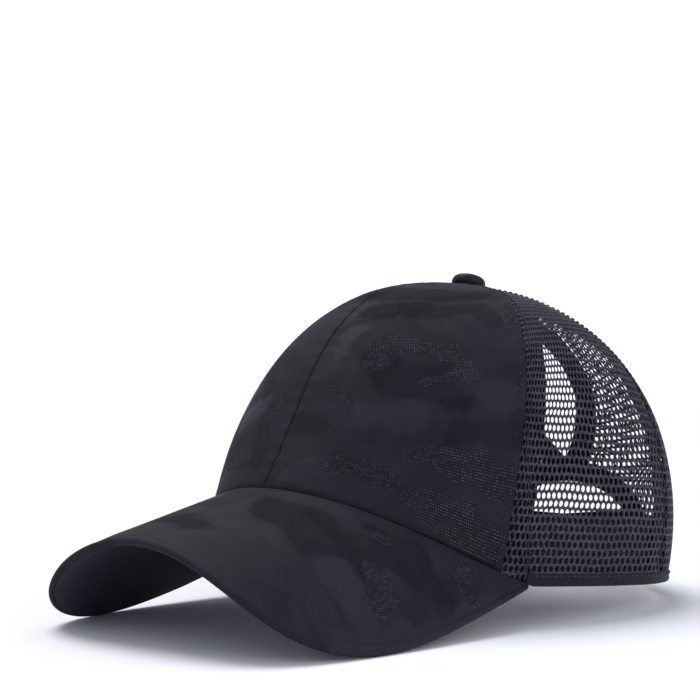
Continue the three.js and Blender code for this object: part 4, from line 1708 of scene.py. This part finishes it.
def under_closure(flat):
    past = outside_of(half_moon, flat[:, 0], flat[:, 1])
    return 1 - smooth(past, binding_width - 0.6, binding_width + 1.6)


def not_tucked(flat):
    return np.zeros(len(flat))


rings = binding_rings(closure_flat, not_tucked)
finish_piece(sweep("closure_binding_cloth", rings, [tape_cloth]), "tape", "closure_binding")
rings = binding_rings(pony_flat, under_closure)
pony_piece = sweep("ponytail_binding_cloth", rings, [tape_cloth], closed_path=True)
finish_piece(pony_piece, "tape", "ponytail_binding")


def binding_rows(flat_at, ends, keep):
    """Two rows of stitches on the tape's outside and two inside, where keep allows them."""
    lines = []
    for outset in (1.75, 8.3):
        for depth, sign in ((-0.5, 1), (1.93, -1)):
            flat = flat_at(outset)[ends]
            flat = flat[keep(flat)]
            points, outward = on_rear(flat, np.full(len(flat), depth))
            lines.append((points, outward * sign))
    return lines


def clear_of_closure(flat):
    return outside_of(half_moon, flat[:, 0], flat[:, 1]) > binding_width + 0.8


lines = binding_rows(closure_flat, slice(6, -6), lambda flat: np.ones(len(flat), bool))
lines += binding_rows(pony_flat, slice(0, None), clear_of_closure)
sew("binding_stitches", lines, short_stitch, 2.7, black_thread, "tape")

# %% [markdown]
# ## The hem
# The net's lower edge is covered by a folded band of cloth. Its lower half is rolled and a little
# fuller, and a row of stitches holds its upper half. It narrows to nothing where the peak begins.

# %% Hem
# Places round the hem, as (share of the height, depth): a plain upper half over a rolled edge.
hem_section = [
    (0.0, 1.9), (0.02, 0.9), (0.1, 0.1), (0.22, -0.3), (0.36, -0.4), (0.5, -0.22), (0.56, -0.02),
    (0.62, -0.12), (0.78, -0.16), (0.92, -0.1), (0.99, 0.25),
    (1.0, 1.0), (0.99, 2.2), (0.93, 2.8), (0.6, 3.0), (0.25, 2.95), (0.06, 2.6),
]
closure_edge_angle = math.pi - math.asin((closure_half + binding_width + 0.05) / half_width)


def make_hem(side, label):
    """Makes one side's hem and returns the line for its stitches."""
    first = hem_start + math.radians(0.05)
    angle = first + (closure_edge_angle - first) * np.linspace(0, 1, 200) ** 1.15
    rings = []
    for share, depth in hem_section:
        t = t_at_height(angle, hem_top_height(angle) * share)
        wave = 0.06 * np.sin(angle * 260) * smooth(share, 0.7, 1.0)
        rings.append(mirrored(crown_point(angle, t, depth + wave), side))
    piece = sweep(f"hem_{label}", np.stack(rings, 1), [hem_cloth])
    finish_piece(piece, "tape", f"rim_band_{label}")
    inner = angle[8:-4]
    t = t_at_height(inner, hem_top_height(inner) * 0.84)
    return crown_line(inner, t, -0.24, side)


hem_rows = [make_hem(side, label) for side, label in sides]
sew("hem_stitches", hem_rows, short_stitch, 2.9, net_thread, "tape")

# %% [markdown]
# ## The sweatband
# A band of jersey runs inside from one side of the rear opening round the forehead to the other.
# Rows of stitches quilt it, so the jersey swells between them. The rows show as pale dashes.

# %% Sweatband
sweat_low, sweat_high = 0.3, 25.0
sweat_outer, sweat_inner = 3.5, 4.7
sweat_steps_up, sweat_steps_round = 57, 330
sweat_rows, sweat_row_step, sweat_first_row = 6, 4.5, 3.0
sweat_end = math.pi - math.asin((closure_half + binding_width + seam_gap) / half_width)


def sweat_swell(height):
    """0 at a row of stitches and 1 between rows."""
    return np.abs(np.sin(math.pi * (height - sweat_first_row) / sweat_row_step)) ** 0.7


def make_sweatband():
    heights = np.linspace(sweat_low, sweat_high, sweat_steps_up)
    angles = np.linspace(-sweat_end, sweat_end, sweat_steps_round)
    height, angle = np.meshgrid(heights, angles, indexing="ij")
    t = t_at_height(angle, height)
    swell = sweat_swell(height)
    outer = crown_point(angle, t, sweat_outer + 0.4 - 0.3 * swell)
    inner = crown_point(angle, t, sweat_inner - 0.4 + 0.35 * swell)
    u = lengths_along(outer, 1)
    piece = wall("sweatband_cloth", outer, inner, np.stack([u, height], -1), [sweat_cloth])
    finish_piece(piece, "sweat_cloth", "sweatband")


make_sweatband()
rows = []
for k in range(sweat_rows):
    angle = np.linspace(-sweat_end + 0.02, sweat_end - 0.02, 300)
    t = t_at_height(angle, sweat_first_row + k * sweat_row_step)
    for depth, sign in ((sweat_outer + 0.32, 1), (sweat_inner - 0.32, -1)):
        points, outward = crown_line(angle, t, depth)
        rows.append((points, outward * sign))
sew("sweatband_stitches", rows, dash_stitch, 5.0, sweat_thread, "sweat_cloth")

# %% [markdown]
# ## The strap
# Two short straps leave the legs of the half-moon's binding and lap over each other, held by
# hooks and loops. Each is a flat band 25 mm high with rounded edges, swept along its route. The
# outer one ends freely past the far leg, with rounded corners.

# %% Strap
strap_height, strap_thickness = 25.0, 1.5
# Each half: its top edge's height at the rear centre, the rise of that edge towards the wearer's
# left, and its route as (place to the wearer's left, depth under the crown's surface).
outer_strap = (24.2, 0.1, [(48.5, 2.35), (26, 2.35), (14, 0.2), (-16, 0.2), (-31, -2.6), (-40, -2.6)])
inner_strap = (23.9, -0.03, [(12, 2.4), (-48.5, 2.4)])


def depth_on_route(route, x):
    xs = np.array([p[0] for p in route])[::-1]
    ds = np.array([p[1] for p in route])[::-1]
    k = np.clip(np.searchsorted(xs, x, side="right"), 1, len(xs) - 1)
    share = np.clip((x - xs[k - 1]) / (xs[k] - xs[k - 1]), 0, 1)
    share = 1 - (1 - share) ** 2 * (3 - 2 * (1 - share))
    return ds[k - 1] + (ds[k] - ds[k - 1]) * share


def above_floor(points):
    """Lifts points that would lie lower than the peak's edge, which rests on the floor."""
    lift = np.maximum(0, own_low[2] - tipped(points)[..., 2])
    points = points.copy()
    points[..., 2] += lift / math.cos(rest_tilt)
    return points


def strap_section():
    """(share of the height, share of the thickness) round the strap's edge, with soft corners."""
    up = [0.0, 0.012, 0.035, 0.1, 0.3, 0.5, 0.7, 0.9, 0.965, 0.988, 1.0]
    dent = [0.5, 0.16, 0.03, 0.0, 0.0, 0.0, 0.0, 0.0, 0.03, 0.16, 0.5]
    return [(u, d) for u, d in zip(up, dent)] + [(u, 1 - d) for u, d in list(zip(up, dent))[-2:0:-1]]


def make_strap(name, node, top_at_centre, rise, route, corner=0.0, steps=150):
    """One half of the strap. corner is the radius of its free end's corners."""
    start, end = route[0][0], route[-1][0]
    x = start + (end - start) * np.linspace(0, 1, steps)
    from_end = np.abs(x - end)
    inset = corner - np.sqrt(np.maximum(0, corner**2 - np.maximum(0, corner - from_end) ** 2))
    rings = []
    for up, through in strap_section():
        top = top_at_centre + rise * x - inset
        low = top_at_centre + rise * x - strap_height + inset
        z = low + (top - low) * up
        angle, t = rear_place(x, z)
        depth = depth_on_route(route, x) + strap_thickness * through
        rings.append(above_floor(crown_point(angle, t, depth)))
    piece = sweep(name, np.stack(rings, 1), [strap_cloth])
    finish_piece(piece, "strap_web", node)


def strap_rows(top_at_centre, rise, route, margin=2.0, depth_shift=-0.05):
    """A row of stitches near each long edge, just proud of the strap."""
    start, end = route[0][0], route[-1][0]
    x = np.linspace(start - np.sign(start - end) * 2, end + np.sign(start - end) * 2.2, 120)
    lines = []
    for drop in (margin, strap_height - margin):
        angle, t = rear_place(x, top_at_centre + rise * x - drop)
        points = crown_point(angle, t, depth_on_route(route, x) + depth_shift)
        lines.append((above_floor(points), crown_normal(angle, t)))
    return lines


make_strap("strap_left_web", "closure_strap_left", *outer_strap, corner=4.0)
make_strap("strap_right_web", "closure_strap_right", *inner_strap)
rows = strap_rows(*outer_strap) + strap_rows(*inner_strap)
sew("strap_stitches", rows, short_stitch, 2.7, black_thread, "strap_web")

# %% [markdown]
# ## The top button
# A flat metal shell covered with the cap's cloth is clenched over the meeting seams. It is a turned
# profile with a slightly uneven surface, because the cloth is gathered under its edge.

# %% Button
button_radius, button_tilt, button_lift = 7.0, math.radians(11), 0.6
# The profile from the middle below to the middle above, as (share of the radius, height).
button_profile = [
    (0.0, 0.0), (0.5, 0.0), (0.86, 0.0), (0.95, 0.25), (1.0, 0.8), (1.01, 1.5), (0.99, 2.3),
    (0.955, 3.0), (0.89, 3.6), (0.78, 4.1), (0.62, 4.5), (0.42, 4.75), (0.2, 4.87), (0.0, 4.9),
]
button_map_place = (140, 60)


def make_button(around=72):
    turns = np.linspace(0, 2 * math.pi, around, endpoint=False)
    points = []
    c, s = math.cos(button_tilt), math.sin(button_tilt)
    for share, up in button_profile:
        gather = 0.12 * np.sin(turns * 14) * max(0.0, 1 - abs(up - 0.8) / 1.6)
        r = share * button_radius + gather * (share > 0.5)
        x, y = r * np.cos(turns), r * np.sin(turns)
        level = np.full(around, up)
        height = crown_height + button_lift + level * c - y * s
        points.append(np.stack([x, button_back + y * c + level * s, height], -1))
    points = np.concatenate(points)
    quads, index = quads_of(len(button_profile), around, wrap_columns=True)
    arc = lengths_along(np.array(button_profile) * [button_radius, 1], 0)
    radial = arc[-1] - arc[quads[..., 0]]
    turned = turns[quads[..., 1] % around]
    corner_map = np.stack([radial * np.cos(turned), radial * np.sin(turned)], -1) + button_map_place
    # The button takes the pale end of the shade all over: painted light, for its brightly lit top.
    fields = {"dotted": np.full(len(points), -5.0), "shade": np.full(len(points), 1.0)}
    piece = build_mesh("top_button_cloth", points, index, corner_map, [cloth], fields=fields)
    finish_piece(piece, "front_cloth", "top_button")


make_button()

# %% Sizes and finish
visual_box = [list(corner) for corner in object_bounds()]
for label, box in (("cad", cad_box), ("visual", visual_box)):
    print(label, [[round(v * 1000, 2) for v in corner] for corner in box])
